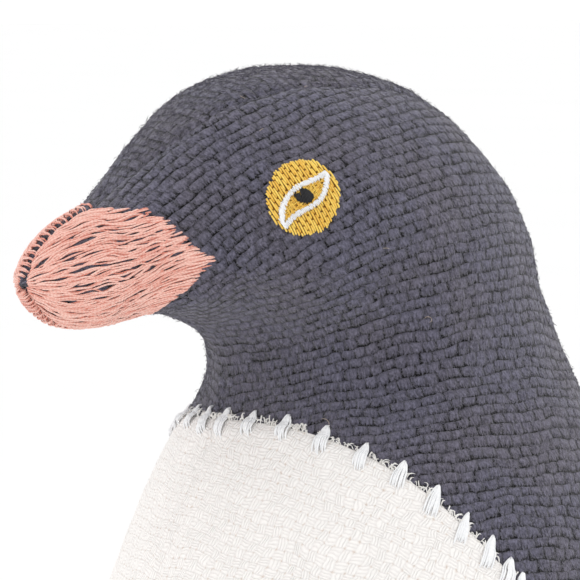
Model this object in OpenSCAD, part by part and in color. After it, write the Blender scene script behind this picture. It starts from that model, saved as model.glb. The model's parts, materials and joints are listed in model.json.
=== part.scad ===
// Plush penguin, standing, filled with fibre and weighted with pellets.
// Millimetres. +Z is up, the face looks along -Y, and the penguin's own left side is +X.
// The origin is on the floor, at the centre of the round base.

/* [Body] */
// Height from the floor to the crown
height = 250; // [200:5:320]
// Thickness of the woven cotton skin
fabric_t = 1.2; // [0.8:0.1:1.6]
// Gap left between one soft piece and the next
gap = 0.3; // [0.2:0.05:0.4]

/* [White front] */
// Highest point of the white front, at the throat
front_top = 189.5; // [180:0.5:194]
// How far its top edge falls on the way round to each side
front_drop = 27; // [20:1:32]
// Angle from the front at which it ends, on each side
front_wrap = 86; // [76:1:88]
// Distance from one whip stitch to the next
stitch_pitch = 6.4; // [4.5:0.1:8]
// Radius of the whip stitch thread
stitch_r = 0.5; // [0.3:0.05:0.6]

/* [Embroidery] */
// How far the embroidery stands out of the skin
embroidery_t = 0.5; // [0.3:0.1:0.8]
// Width of the eye disc, seen from the side
eye_w = 10.8; // [9.5:0.1:12]
// Height of the eye disc
eye_h = 12.8; // [11.5:0.1:14]
// Place of the eye along Y
eye_y = -31; // [-32:0.5:-24]
// Height of the eye above the floor
eye_z = 228.2; // [224:0.1:230]
// Length of the almond outline inside the eye disc
almond_l = 12; // [9.5:0.1:12.2]
// Opening of the almond between its lids
almond_w = 4.2; // [3.2:0.1:4.6]
// Slope of the almond, which rises towards the back of the head
almond_slope = 49; // [40:1:60]
// Diameter of the pupil
pupil_d = 2.6; // [2:0.1:3.2]

/* [Wings] */
// Length from the shoulder seam to the tip
wing_length = 82; // [60:1:84]
// Greatest width
wing_width = 33; // [24:1:36]
// Thickness over the padding
wing_t = 6.4; // [5:0.1:7]
// Height of the shoulder seam
shoulder_z = 153; // [148:1:156]

/* [Feet] */
// Length in front of the ankle seam
foot_length = 34; // [24:1:40]
// Width across the toes
foot_width = 31; // [20:1:32]
// Thickness over the padding
foot_t = 6; // [5:0.1:6.4]
// Angle that each foot turns out
foot_splay = 25; // [22:1:35]

/* [Tail] */
// Length behind the tail seam
tail_length = 34; // [24:1:40]
// Width at the root
tail_width = 34; // [26:1:38]
// Thickness over the padding
tail_t = 5.6; // [5:0.1:6.4]

/* [Base] */
// Radius of the flat base disc
base_r = 40; // [38:0.5:40]
// Radius of the pellet bag
bag_r = 36; // [30:1:37]
// Height of the pellet bag
bag_h = 20; // [14:1:24]

/* [Hidden] */

unit = height / 250;
SLATE = [0.24, 0.235, 0.26];
CREAM = [0.93, 0.92, 0.89];
SALMON = [0.93, 0.62, 0.54];
YELLOW = [0.90, 0.68, 0.20];
THREAD = [0.95, 0.96, 0.98];
INK = [0.10, 0.10, 0.11];
FILL = [0.97, 0.97, 0.95];
LINER = [0.85, 0.83, 0.78];

// The skin is swept along a spine that climbs from the base to the head and then turns into the
// beak. Each station is one ring of it, at a height of 250:
// [front y, front z, back y, back z, half width, front point, back point]
// A point above 1 draws that end of the ring to a ridge, and one below 1 makes it blunt.
STATIONS = [
    [-41, 0, 41, 0, 41, 1, 1],
    [-47, 4, 46.5, 4, 46.5, 1, 1],
    [-52, 14, 51, 14, 51.5, 1, 1],
    [-56, 35, 54.5, 35, 55.5, 1, 1],
    [-58, 62, 56.5, 62, 58, 1, 1],
    [-58, 90, 56.5, 90, 58, 1, 1],
    [-56, 116, 55, 116, 56, 1, 1],
    [-51.5, 140, 52, 140, 52.5, 1, 1],
    [-44.5, 162, 46.5, 162, 47, 1, 1],
    [-37.5, 178, 40, 180, 41, 1, 1],
    [-33.2, 189, 36.5, 192, 35, 1.15, 1],
    [-31.8, 196, 32.5, 202, 31.5, 1.4, 1],
    [-32.8, 201.5, 28.5, 211.5, 30.5, 1.5, 1],
    [-36.3, 205, 25.5, 221.5, 30.5, 1.4, 0.95],
    [-40.5, 206.8, 19, 232, 30.5, 1.25, 0.9],
    [-44, 207.6, 8, 241.5, 29.5, 1.15, 0.8],
    [-47, 207.9, -6, 248.4, 26.5, 1.05, 0.75],
    [-49.3, 207.9, -21.5, 249.9, 21, 1, 0.75],
    [-51.3, 207.7, -35, 246.5, 16.5, 1, 0.8],
    [-53.2, 207.4, -44.8, 240, 13.4, 1, 0.85],
    [-55.5, 207, -52, 233, 11.8, 1, 0.95],
    [-58.5, 206.7, -57.5, 227.4, 11, 1, 1],
    [-62.3, 206.6, -62.6, 224.8, 9.8, 1, 1],
    [-66.3, 207.4, -67.2, 221.6, 8, 1, 1],
    [-69.8, 209.8, -70.4, 217.8, 5.4, 1, 1],
    [-72, 212.6, -72, 214.8, 1.2, 1, 1]
];
LAST = len(STATIONS) - 1;
NECK = 11;

// Half the angle that the gusset spans over the top of the head, at rings from nape to beak
GUSSET = [
    [10.5, 1], [12, 9], [13, 15], [14, 19], [15, 21], [16, 25], [16.5, 31], [18, 33.5], [19, 30],
    [20, 17], [21, 1],
];
gusset_low = GUSSET[0][0];
gusset_high = GUSSET[len(GUSSET) - 1][0];

seam_gap = 0.05;
embroidery_in = 0.2;
embroidery_out = embroidery_in + embroidery_t;
backing_t = 0.3;
backing_out = -fabric_t - gap;
backing_in = backing_out - backing_t;
stuffing_inset = gap - backing_in;
front_low = 4;
front_side_top = front_top - front_drop;
front_in = 0.6;
front_out = front_in + fabric_t;
wall = 1;

// ---- the skin surface ----

// A smooth curve through b and c, with a and d on either side
function through(a, b, c, d, t) =
    b + 0.5 * t * ((c - a) + t * ((2 * a - 5 * b + 4 * c - d) + t * (3 * (b - c) + d - a)));

// The ring at position k along the spine, between stations
function ring(k) =
    let (i = min(floor(k), LAST - 1))
    through(STATIONS[max(i - 1, 0)], STATIONS[i], STATIONS[i + 1], STATIONS[min(i + 2, LAST)], k - i);

// A point of the skin on ring k, at angle a from the front towards +X
function on_skin(k, a) =
    let (s = ring(k),
         point = s[5] + (s[6] - s[5]) * (1 - cos(a)) / 2)
    unit * [s[4] * sign(sin(a)) * pow(abs(sin(a)), point),
            (s[0] + s[2] + (s[0] - s[2]) * cos(a)) / 2,
            (s[1] + s[3] + (s[1] - s[3]) * cos(a)) / 2];

function outward(k, a) =
    let (along = on_skin(min(k + 0.05, LAST), a) - on_skin(max(k - 0.05, 0), a),
         around = on_skin(k, a + 1) - on_skin(k, a - 1),
         n = cross(around, along))
    n / norm(n);

// A point at distance d outside the skin
function skin(k, a, d) = on_skin(k, a) + d * outward(k, a);

// The position along the spine at which the front of a body 250 high is at height z
function ring_at_height(z, lo = 0, hi = 12, steps = 14) =
    let (mid = (lo + hi) / 2)
    steps == 0 ? mid
    : ring(mid)[1] < z ? ring_at_height(z, mid, hi, steps - 1)
    : ring_at_height(z, lo, mid, steps - 1);

// Whether a point seen from the side lies beyond ring k: positive when it does
function beyond(k, y, z) =
    let (s = ring(k)) (s[2] - s[0]) * (z - s[1]) - (s[3] - s[1]) * (y - s[0]);

function ring_through(y, z, lo = NECK, hi = LAST, steps = 14) =
    let (mid = (lo + hi) / 2)
    steps == 0 ? mid
    : beyond(mid, y, z) > 0 ? ring_through(y, z, mid, hi, steps - 1)
    : ring_through(y, z, lo, mid, steps - 1);

// The point at distance d outside the left of the head that is seen from the side at y, z
function seen_at(y, z, d) =
    let (k = ring_through(y, z),
         s = ring(k),
         h = [s[0] - s[2], s[1] - s[3]] / 2,
         from_mid = [y - (s[0] + s[2]) / 2, z - (s[1] + s[3]) / 2],
         c = (h * from_mid) / (h * h))
    skin(k, acos(max(-1, min(1, c))), d);

// ---- solids made from grids of points ----

// A closed sheet between two grids of the same size. Rows go up and columns go to the right,
// seen from the outer side.
module sheet(outer, inner) {
    rows = len(outer);
    cols = len(outer[0]);
    n = rows * cols;
    function at(r, c) = r * cols + c;
    points = [for (grid = [outer, inner]) for (row = grid) each row];
    quads = [
        for (r = [0:rows - 2]) for (c = [0:cols - 2]) each [
            [at(r, c), at(r + 1, c), at(r + 1, c + 1), at(r, c + 1)],
            [n + at(r, c), n + at(r, c + 1), n + at(r + 1, c + 1), n + at(r + 1, c)]
        ],
        for (c = [0:cols - 2]) each [
            [at(0, c), at(0, c + 1), n + at(0, c + 1), n + at(0, c)],
            [at(rows - 1, c + 1), at(rows - 1, c), n + at(rows - 1, c), n + at(rows - 1, c + 1)]
        ],
        for (r = [0:rows - 2]) each [
            [at(r + 1, 0), at(r, 0), n + at(r, 0), n + at(r + 1, 0)],
            [at(r, cols - 1), at(r + 1, cols - 1), n + at(r + 1, cols - 1), n + at(r, cols - 1)]
        ]
    ];
    faces = [for (q = quads) each [[q[0], q[1], q[2]], [q[0], q[2], q[3]]]];
    polyhedron(points, faces);
}

// A closed solid through a stack of rings, each a list of points that turns left about the way up
module loft(rings) {
    sides = len(rings[0]);
    top = len(rings) - 1;
    faces = [
        [for (j = [0:sides - 1]) j],
        [for (j = [0:sides - 1]) top * sides + sides - 1 - j],
        for (i = [0:top - 1]) for (j = [0:sides - 1])
            let (a = i * sides + j, b = i * sides + (j + 1) % sides)
            each [[a, a + sides, b + sides], [a, b + sides, b]]
    ];
    polyhedron([for (r = rings) each r], faces);
}

// A round rod between two points
module rod(from, to, r) {
    v = to - from;
    length = norm(v);
    translate(from)
        rotate([0, acos(v.z / length), atan2(v.y, v.x)])
            cylinder(h = length, r = r, $fn = 24);
}

module mirrored(is_right) {
    if (is_right) mirror([1, 0, 0]) children();
    else children();
}

// ---- skin panels ----

// Half the angle between the two side panels at ring k: the gusset fills it over the head
function gap_turn(k) = k < gusset_low || k > gusset_high ? 0 : lookup(k, GUSSET);

// The two side panels and the gusset share their rows, so that their edges meet all along
ROWS_PER_RING = 2;

module side_panel(cols = 15) {
    function grid(d) = [
        for (i = [0:LAST * ROWS_PER_RING])
            let (k = i / ROWS_PER_RING)
            [for (j = [0:cols]) skin(k, (180 - gap_turn(k)) * j / cols, d)]
    ];
    translate([seam_gap, 0, 0]) sheet(grid(0), grid(-fabric_t));
}

module side_panel_left() { color(SLATE) side_panel(); }

module side_panel_right() { color(SLATE) mirrored(true) side_panel(); }

// The strip over the crown: it starts in a point at the nape and ends in one at the beak
module head_gusset(cols = 6) {
    function grid(d) = [
        for (i = [gusset_low * ROWS_PER_RING:gusset_high * ROWS_PER_RING])
            let (k = i / ROWS_PER_RING)
            [for (j = [0:cols]) skin(k, 180 + gap_turn(k) * (2 * j / cols - 1), d)]
    ];
    color(SLATE) sheet(grid(0), grid(-fabric_t));
}

// A point of the white front: c goes from -1 to 1 around the body, r from 0 to 1 up it
function on_front(c, r, d) =
    let (top = front_top - front_drop * pow(abs(c), 3),
         z = front_low + (top - front_low) * r)
    skin(ring_at_height(z), c * front_wrap, d);

module belly_panel(rows = 18, cols = 26) {
    function grid(d) = [for (i = [0:rows]) [for (j = [0:cols]) on_front(2 * j / cols - 1, i / rows, d)]];
    color(CREAM) sheet(grid(front_out), grid(front_in));
}

module base_panel() {
    color(SLATE) cylinder(h = fabric_t, r = base_r * unit, $fn = 96);
}

// ---- stitches on the body ----

half_stitch = 2.3;
stitch_d = front_out + stitch_r + 0.15;
top_count = round(72 * unit / stitch_pitch);
side_count = floor((front_side_top - 14) * unit / stitch_pitch);

module belly_stitches() {
    dr = half_stitch / (front_side_top * unit);
    dc = half_stitch / (84 * unit);
    for (i = [0:top_count - 1]) {
        c = sin(90 * (i + 0.5) / (top_count + 0.5));
        rod(on_front(c, 1 - dr, stitch_d), on_front(c, 1 + dr, stitch_d), stitch_r);
    }
    for (i = [1:side_count]) {
        r = 1 - i * stitch_pitch / ((front_side_top - front_low) * unit);
        rod(on_front(1 - dc, r, stitch_d), on_front(1 + dc, r, stitch_d), stitch_r);
    }
}

module belly_stitches_left() { color(THREAD) belly_stitches(); }

module belly_stitches_right() { color(THREAD) mirrored(true) belly_stitches(); }

// The opening through which the body was filled, drawn shut low on the back
module closing_stitches() {
    thread_r = 0.3;
    color(SLATE)
        for (z = [46:3.5:95]) {
            k = ring_at_height(z);
            rod(skin(k, 178, thread_r + 0.15), skin(k, 182, thread_r + 0.15), thread_r);
        }
}

// ---- beak ----

beak_rear_angle = 60;

// The rear edge of the beak embroidery, a leaf shape that points back along the cheek
function beak_rear(a) =
    17.4 + 4.3 * pow(max(0, a - beak_rear_angle) / (180 - beak_rear_angle), 0.62);

module beak_patch(out, in, rows = 11, cols = 14) {
    edge = 3;
    front = LAST - 0.5;
    function grid(d) = [
        for (i = [0:rows]) [
            for (j = [0:cols])
                let (a = edge + (180 - 2 * edge) * j / cols)
                skin(beak_rear(a) + (front - beak_rear(a)) * i / rows, a, d)
        ]
    ];
    sheet(grid(out), grid(in));
}

module beak_embroidery_left() { color(SALMON) beak_patch(embroidery_out, embroidery_in); }

module beak_embroidery_right() {
    color(SALMON) mirrored(true) beak_patch(embroidery_out, embroidery_in);
}

module beak_backing_left() { color(LINER) beak_patch(backing_out, backing_in, 8, 10); }

module beak_backing_right() {
    color(LINER) mirrored(true) beak_patch(backing_out, backing_in, 8, 10);
}

// Short stitches across the seam where the two halves of the beak meet
module beak_seam_stitches() {
    thread_r = 0.3;
    half = 1.1;
    color(SALMON)
        for (side = [0, 180]) for (k = [21.6:0.35:24.2]) {
            p = skin(k, side, embroidery_out + 2 * thread_r);
            rod(p - [half, 0, 0], p + [half, 0, 0], thread_r);
        }
}

// ---- eyes ----

// A square grid of [-1, 1] steps pressed into a round one
function disc_step(u, v) = [u * sqrt(1 - v * v / 2), v * sqrt(1 - u * u / 2)];

module eye_patch(size, out, in, cells = 8) {
    function grid(d) = [
        for (i = [0:cells]) [
            for (j = [0:cells])
                let (p = disc_step(2 * j / cells - 1, 2 * i / cells - 1),
                     y = eye_y + p[0] * size[0] / 2,
                     z = eye_z + p[1] * size[1] / 2)
                seen_at(y, z, d)
        ]
    ];
    sheet(grid(out), grid(in));
}

almond_in = embroidery_out + 0.05;
almond_out = almond_in + 0.35;

// A band around an almond with a corner at each end
module almond(steps = 28, band = 0.95) {
    function edge(inset, t, d) =
        let (a = 360 * t,
             u = (almond_l / 2 - 1.6 * inset) * cos(a),
             v = (almond_w / 2 + band / 2 - inset) * sin(a) * pow(abs(sin(a)), 0.4),
             y = eye_y + u * cos(almond_slope) - v * sin(almond_slope),
             z = eye_z + u * sin(almond_slope) + v * cos(almond_slope))
        seen_at(y, z, d);
    function grid(d) = [
        for (inset = [0, band]) [for (i = [0:steps]) edge(inset, 0.998 - 0.996 * i / steps, d)]
    ];
    sheet(grid(almond_in), grid(almond_out));
}

module eye_disc_left() { color(YELLOW) eye_patch([eye_w, eye_h], embroidery_out, embroidery_in); }

module eye_disc_right() {
    color(YELLOW) mirrored(true) eye_patch([eye_w, eye_h], embroidery_out, embroidery_in);
}

module eye_outline_left() { color(THREAD) almond(); }

module eye_outline_right() { color(THREAD) mirrored(true) almond(); }

module eye_pupil_left() {
    color(INK) eye_patch([pupil_d, pupil_d], almond_out, almond_in, 4);
}

module eye_pupil_right() {
    color(INK) mirrored(true) eye_patch([pupil_d, pupil_d], almond_out, almond_in, 4);
}

module eye_backing_left() {
    color(LINER) eye_patch([eye_w + 3, eye_h + 3], backing_out, backing_in, 6);
}

module eye_backing_right() {
    color(LINER) mirrored(true) eye_patch([eye_w + 3, eye_h + 3], backing_out, backing_in, 6);
}

// ---- filling ----

module stuffing(low, high, rows, sides) {
    loft([
        for (i = [0:rows]) [
            for (j = [0:sides - 1])
                skin(low + (high - low) * i / rows, 360 * j / sides, -stuffing_inset)
        ]
    ]);
}

bag_low = fabric_t + gap;
bag_wall = 0.8;

module head_stuffing() { color(FILL) stuffing(NECK + 0.03, LAST - 1.2, 18, 24); }

module body_stuffing() {
    color(FILL) stuffing(ring_at_height(bag_low + bag_h + 2), NECK, 15, 26);
}

// A round bag with bulging sides, and the fill that it holds
module bag_form(inset) {
    r = bag_r - inset;
    h = bag_h / 2 - inset;
    edge = min(h, 9);
    translate([0, 0, bag_low + bag_h / 2])
        rotate_extrude($fn = 72)
            union() {
                translate([0, -h]) square([r - edge, 2 * h]);
                translate([r - edge, 0]) intersection() {
                    circle(r = h, $fn = 48);
                    translate([0, -h]) square([edge, 2 * h]);
                }
            }
}

module pellet_bag() {
    color(LINER) scale(unit)
        difference() {
            bag_form(0);
            bag_form(bag_wall);
        }
}

module pellet_fill() { color(CREAM) scale(unit) bag_form(bag_wall + 0.15); }

// ---- flat padded limbs ----

// Each limb is a flat cushion: a plate below, a shallow tray above and padding in the tray.
// The outline lies in the XY plane and grows along -Y from its seam at y = 0.
// A size is [length, width at the root, width towards the tip, extra width in the middle].
function limb_outline(size, inset, steps = 18) =
    let (half = [
        for (i = [0:steps])
            let (t = sin(90 * i / steps),
                 w = (size[1] + (size[2] - size[1]) * t + size[3] * sin(180 * t)) / 2,
                 rounding = sqrt(max(0, 1 - pow(t, 5))))
            [max(0.6, w * rounding - inset), -inset - (size[0] - 2 * inset) * t]
    ])
    [for (p = half) p, for (i = [steps:-1:0]) [-half[i].x, half[i].y]];

module limb_plate(size, inset, low, t) {
    translate([0, 0, low])
        linear_extrude(height = t)
            polygon(limb_outline(size, inset));
}

module limb_tray(size, low, t) {
    difference() {
        limb_plate(size, 0, low, t);
        limb_plate(size, wall, low - 1, t + 1 - wall);
    }
}

// Part 0 is the plate, 1 the tray and 2 the padding; the limb is t thick
module limb(part, size, t) {
    if (part == 0) limb_plate(size, 0, 0, wall);
    if (part == 1) limb_tray(size, wall + 0.05, t - wall - 0.05);
    if (part == 2) limb_plate(size, wall + 0.2, wall + 0.1, t - 2 * wall - 0.2);
}

// ---- wings ----

wing_size = [wing_length, wing_width * 0.72, wing_width * 0.5, wing_width * 0.42];
wing_hinge = [51.2, 17, shoulder_z];
wing_lean = 10;

// The wing hangs from its seam and leans out over the swell of the body
module wing(part, is_right) {
    mirrored(is_right) scale(unit)
        translate(wing_hinge)
            rotate([0, -wing_lean, 0])
                rotate([90, 0, 90])
                    limb(part, wing_size, wing_t);
}

module wing_left_outer() { color(SLATE) wing(1, false); }

module wing_left_lining() { color(CREAM) wing(0, false); }

module wing_left_padding() { color(FILL) wing(2, false); }

module wing_right_outer() { color(SLATE) wing(1, true); }

module wing_right_lining() { color(CREAM) wing(0, true); }

module wing_right_padding() { color(FILL) wing(2, true); }

// Hand stitches on the body, along the line where the wing is sewn on
module wing_stitches() {
    thread_r = 0.4;
    k = ring_at_height(shoulder_z + 8.5);
    for (a = [96:4:128])
        rod(skin(k - 0.08, a, thread_r + 0.15), skin(k + 0.08, a, thread_r + 0.15), thread_r);
}

module wing_stitches_left() { color(THREAD) wing_stitches(); }

module wing_stitches_right() { color(THREAD) mirrored(true) wing_stitches(); }

// ---- feet ----

foot_size = [foot_length, foot_width * 0.62, foot_width * 0.9, foot_width * 0.25];
ankle_y = -50.8;

module foot(part, is_right) {
    mirrored(is_right) scale(unit)
        rotate([0, 0, foot_splay])
            translate([0, ankle_y, 0])
                limb(part, foot_size, foot_t);
}

module foot_left_upper() { color(SALMON) foot(1, false); }

module foot_left_sole() { color(SALMON) foot(0, false); }

module foot_left_padding() { color(FILL) foot(2, false); }

module foot_right_upper() { color(SALMON) foot(1, true); }

module foot_right_sole() { color(SALMON) foot(0, true); }

module foot_right_padding() { color(FILL) foot(2, true); }

// ---- tail ----

tail_size = [tail_length, tail_width, tail_width * 0.45, 0];
tail_root = [0, 55.8, 26];
tail_fall = 30;

module tail(part) {
    scale(unit)
        translate(tail_root)
            rotate([tail_fall, 0, 180])
                translate([0, 0, -tail_t])
                    limb(part, tail_size, tail_t);
}

module tail_top() { color(SLATE) tail(1); }

module tail_underside() { color(SLATE) tail(0); }

module tail_padding() { color(FILL) tail(2); }

side_panel_left();
side_panel_right();
head_gusset();
belly_panel();
base_panel();
belly_stitches_left();
belly_stitches_right();
closing_stitches();
beak_embroidery_left();
beak_embroidery_right();
beak_seam_stitches();
beak_backing_left();
beak_backing_right();
eye_disc_left();
eye_disc_right();
eye_outline_left();
eye_outline_right();
eye_pupil_left();
eye_pupil_right();
eye_backing_left();
eye_backing_right();
head_stuffing();
body_stuffing();
pellet_bag();
pellet_fill();
wing_left_outer();
wing_left_lining();
wing_left_padding();
wing_right_outer();
wing_right_lining();
wing_right_padding();
wing_stitches_left();
wing_stitches_right();
foot_left_upper();
foot_left_sole();
foot_left_padding();
foot_right_upper();
foot_right_sole();
foot_right_padding();
tail_top();
tail_underside();
tail_padding();
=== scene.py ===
"""Plush penguin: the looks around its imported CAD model.

Lengths are in millimetres until a mesh is made. +Z is up, the face looks along -Y and the
penguin's own left side is +X, as in the CAD model.
"""

import json
import math

import bpy
import numpy as np
from mathutils import Matrix, Vector


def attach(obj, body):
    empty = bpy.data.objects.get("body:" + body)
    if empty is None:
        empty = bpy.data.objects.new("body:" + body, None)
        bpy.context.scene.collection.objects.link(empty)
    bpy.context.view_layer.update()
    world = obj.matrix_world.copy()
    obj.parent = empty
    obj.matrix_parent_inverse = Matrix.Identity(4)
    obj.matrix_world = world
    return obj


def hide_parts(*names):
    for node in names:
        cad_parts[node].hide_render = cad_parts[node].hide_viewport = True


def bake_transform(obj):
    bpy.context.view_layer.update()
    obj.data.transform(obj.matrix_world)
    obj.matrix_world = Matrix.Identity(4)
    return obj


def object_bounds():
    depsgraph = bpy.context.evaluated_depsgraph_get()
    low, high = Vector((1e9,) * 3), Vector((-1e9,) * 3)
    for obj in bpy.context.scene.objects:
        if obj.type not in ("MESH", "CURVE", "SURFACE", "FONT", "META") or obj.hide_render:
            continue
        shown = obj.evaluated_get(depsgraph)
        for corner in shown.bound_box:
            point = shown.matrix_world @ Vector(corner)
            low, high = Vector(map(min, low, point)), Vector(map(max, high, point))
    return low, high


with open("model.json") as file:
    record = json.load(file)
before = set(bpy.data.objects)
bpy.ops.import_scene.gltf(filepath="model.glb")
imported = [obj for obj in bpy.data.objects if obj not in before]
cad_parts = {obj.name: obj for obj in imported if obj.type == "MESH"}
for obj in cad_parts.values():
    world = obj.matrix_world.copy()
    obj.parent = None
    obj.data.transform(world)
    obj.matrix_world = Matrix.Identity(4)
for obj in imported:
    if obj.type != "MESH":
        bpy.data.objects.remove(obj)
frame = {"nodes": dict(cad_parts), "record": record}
cad_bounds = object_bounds()

MM = 0.001
UNIT = (cad_bounds[1][2] - cad_bounds[0][2]) / (MM * 249.9)
rng = np.random.default_rng(11)

# --- The skin surface, swept along the same spine as in the CAD model ---

# [front y, front z, back y, back z, half width, front point, back point]
STATIONS = np.array([
    [-41, 0, 41, 0, 41, 1, 1],
    [-47, 4, 46.5, 4, 46.5, 1, 1],
    [-52, 14, 51, 14, 51.5, 1, 1],
    [-56, 35, 54.5, 35, 55.5, 1, 1],
    [-58, 62, 56.5, 62, 58, 1, 1],
    [-58, 90, 56.5, 90, 58, 1, 1],
    [-56, 116, 55, 116, 56, 1, 1],
    [-51.5, 140, 52, 140, 52.5, 1, 1],
    [-44.5, 162, 46.5, 162, 47, 1, 1],
    [-37.5, 178, 40, 180, 41, 1, 1],
    [-33.2, 189, 36.5, 192, 35, 1.15, 1],
    [-31.8, 196, 32.5, 202, 31.5, 1.4, 1],
    [-32.8, 201.5, 28.5, 211.5, 30.5, 1.5, 1],
    [-36.3, 205, 25.5, 221.5, 30.5, 1.4, 0.95],
    [-40.5, 206.8, 19, 232, 30.5, 1.25, 0.9],
    [-44, 207.6, 8, 241.5, 29.5, 1.15, 0.8],
    [-47, 207.9, -6, 248.4, 26.5, 1.05, 0.75],
    [-49.3, 207.9, -21.5, 249.9, 21, 1, 0.75],
    [-51.3, 207.7, -35, 246.5, 16.5, 1, 0.8],
    [-53.2, 207.4, -44.8, 240, 13.4, 1, 0.85],
    [-55.5, 207, -52, 233, 11.8, 1, 0.95],
    [-58.5, 206.7, -57.5, 227.4, 11, 1, 1],
    [-62.3, 206.6, -62.6, 224.8, 9.8, 1, 1],
    [-66.3, 207.4, -67.2, 221.6, 8, 1, 1],
    [-69.8, 209.8, -70.4, 217.8, 5.4, 1, 1],
    [-72, 212.6, -72, 214.8, 1.2, 1, 1],
])
LAST = len(STATIONS) - 1
NECK = 11
# Half the gusset's angle at positions along the spine
GUSSET = np.array([
    [10.5, 1], [12, 9], [13, 15], [14, 19], [15, 21], [16, 25],
    [16.5, 31], [18, 33.5], [19, 30], [20, 17], [21, 1],
])


def between(before, b, c, after, t):
    """A smooth curve through four values in a row, at share t of the way from b to c."""
    bend = (2 * before - 5 * b + 4 * c - after) + t * (3 * (b - c) + after - before)
    return b + 0.5 * t * ((c - before) + t * bend)


def ring(k):
    """The stations' values at position k along the spine, on a smooth curve through them."""
    k = np.asarray(k, float)
    i = np.clip(np.floor(k).astype(int), 0, LAST - 1)
    t = (k - i)[..., None]
    rows = (np.clip(i + n, 0, LAST) for n in (-1, 0, 1, 2))
    return between(*(STATIONS[row] for row in rows), t)


def on_skin(k, a):
    """Points of the skin on ring k, at angle a in degrees from the front towards +X."""
    k, a = np.broadcast_arrays(np.asarray(k, float), np.asarray(a, float))
    s = ring(k)
    angle = np.radians(a)
    sine, cosine = np.sin(angle), np.cos(angle)
    point = s[..., 5] + (s[..., 6] - s[..., 5]) * (1 - cosine) / 2
    x = s[..., 4] * np.sign(sine) * np.abs(sine) ** point
    y = (s[..., 0] + s[..., 2] + (s[..., 0] - s[..., 2]) * cosine) / 2
    z = (s[..., 1] + s[..., 3] + (s[..., 1] - s[..., 3]) * cosine) / 2
    return UNIT * np.stack([x, y, z], -1)


def unit_vector(v):
    """The same directions at length 1."""
    return v / (np.linalg.norm(v, axis=-1, keepdims=True) + 1e-12)


def outward(k, a):
    """Directions that point straight out of the skin."""
    k, a = np.broadcast_arrays(np.asarray(k, float), np.asarray(a, float))
    along = on_skin(np.minimum(k + 0.05, LAST), a) - on_skin(np.maximum(k - 0.05, 0), a)
    around = on_skin(k, a + 1) - on_skin(k, a - 1)
    return unit_vector(np.cross(around, along))


def skin(k, a, d):
    """Points at distance d outside the skin."""
    return on_skin(k, a) + np.asarray(d, float)[..., None] * outward(k, a)


def gap_turn(k):
    """Half the angle between the two side panels, which the gusset fills over the head."""
    inside = (k >= GUSSET[0, 0]) & (k <= GUSSET[-1, 0])
    return np.where(inside, np.interp(k, GUSSET[:, 0], GUSSET[:, 1]), 0)


def ring_at_height(z):
    """The position along the spine at which the front of the body is at height z."""
    k = np.linspace(0, 12, 1200)
    return np.interp(z, ring(k)[:, 1], k)


def seen_from_side(y, z):
    """Ring and angle of the skin that is seen from the left at y, z, on the head."""
    low = np.full(np.shape(y), float(NECK))
    high = np.full(np.shape(y), float(LAST))
    for _ in range(22):
        mid = (low + high) / 2
        s = ring(mid)
        past = (s[..., 2] - s[..., 0]) * (z - s[..., 1]) > (s[..., 3] - s[..., 1]) * (y - s[..., 0])
        low, high = np.where(past, mid, low), np.where(past, high, mid)
    s = ring(low)
    hy, hz = (s[..., 0] - s[..., 2]) / 2, (s[..., 1] - s[..., 3]) / 2
    my, mz = y - (s[..., 0] + s[..., 2]) / 2, z - (s[..., 1] + s[..., 3]) / 2
    cosine = (hy * my + hz * mz) / (hy * hy + hz * hz)
    return low, np.degrees(np.arccos(np.clip(cosine, -1, 1)))


def lumps(points, size, seed):
    """A smooth, repeatable unevenness, mostly from -1 to 1, the same wherever two pieces meet."""
    waves = np.random.default_rng(seed)
    total = np.zeros(points.shape[:-1])
    for _ in range(9):
        direction = unit_vector(waves.normal(size=3)) * 2 * math.pi / (size * waves.uniform(0.7, 1.5))
        total += np.sin(points @ direction + waves.uniform(0, 6.28))
    return total / 4


def edge_runs():
    """Length of the front and back seams up to each position along the spine."""
    k = np.linspace(0, LAST, 1500)
    runs = []
    for a in (0 * k, 180 - gap_turn(k)):
        steps = np.linalg.norm(np.diff(on_skin(k, a), axis=0), axis=-1)
        runs.append(np.concatenate([[0], np.cumsum(steps)]))
    return k, runs


RUN_K, RUNS = edge_runs()

# Height, size and seed of the stuffing's lumps, all over and only below a height
LUMPS = ((0.3, 26, 3), (0.12, 9, 4))
LOW_LUMPS = (0.6, 45, 5)
LOW_LUMPS_TOP = 178
# A shallow valley between the beak's root and the cheek: [ring, angle, depth in mm]
VALLEY = np.array([[18.3, 125, 0.5], [18.2, 100, 0.9], [17.8, 76, 1.2], [16.3, 47, 1.2], [13.6, 30, 0.8]])
VALLEY_WIDTH = 4.0
SEAM_WIDTH = 0.9
PUCKER_HEIGHT, PUCKER_REACH = 0.1, 2.0
PUCKER_PITCHES = (3.1, 1.9)
BEAK_START = 20.5


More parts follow.
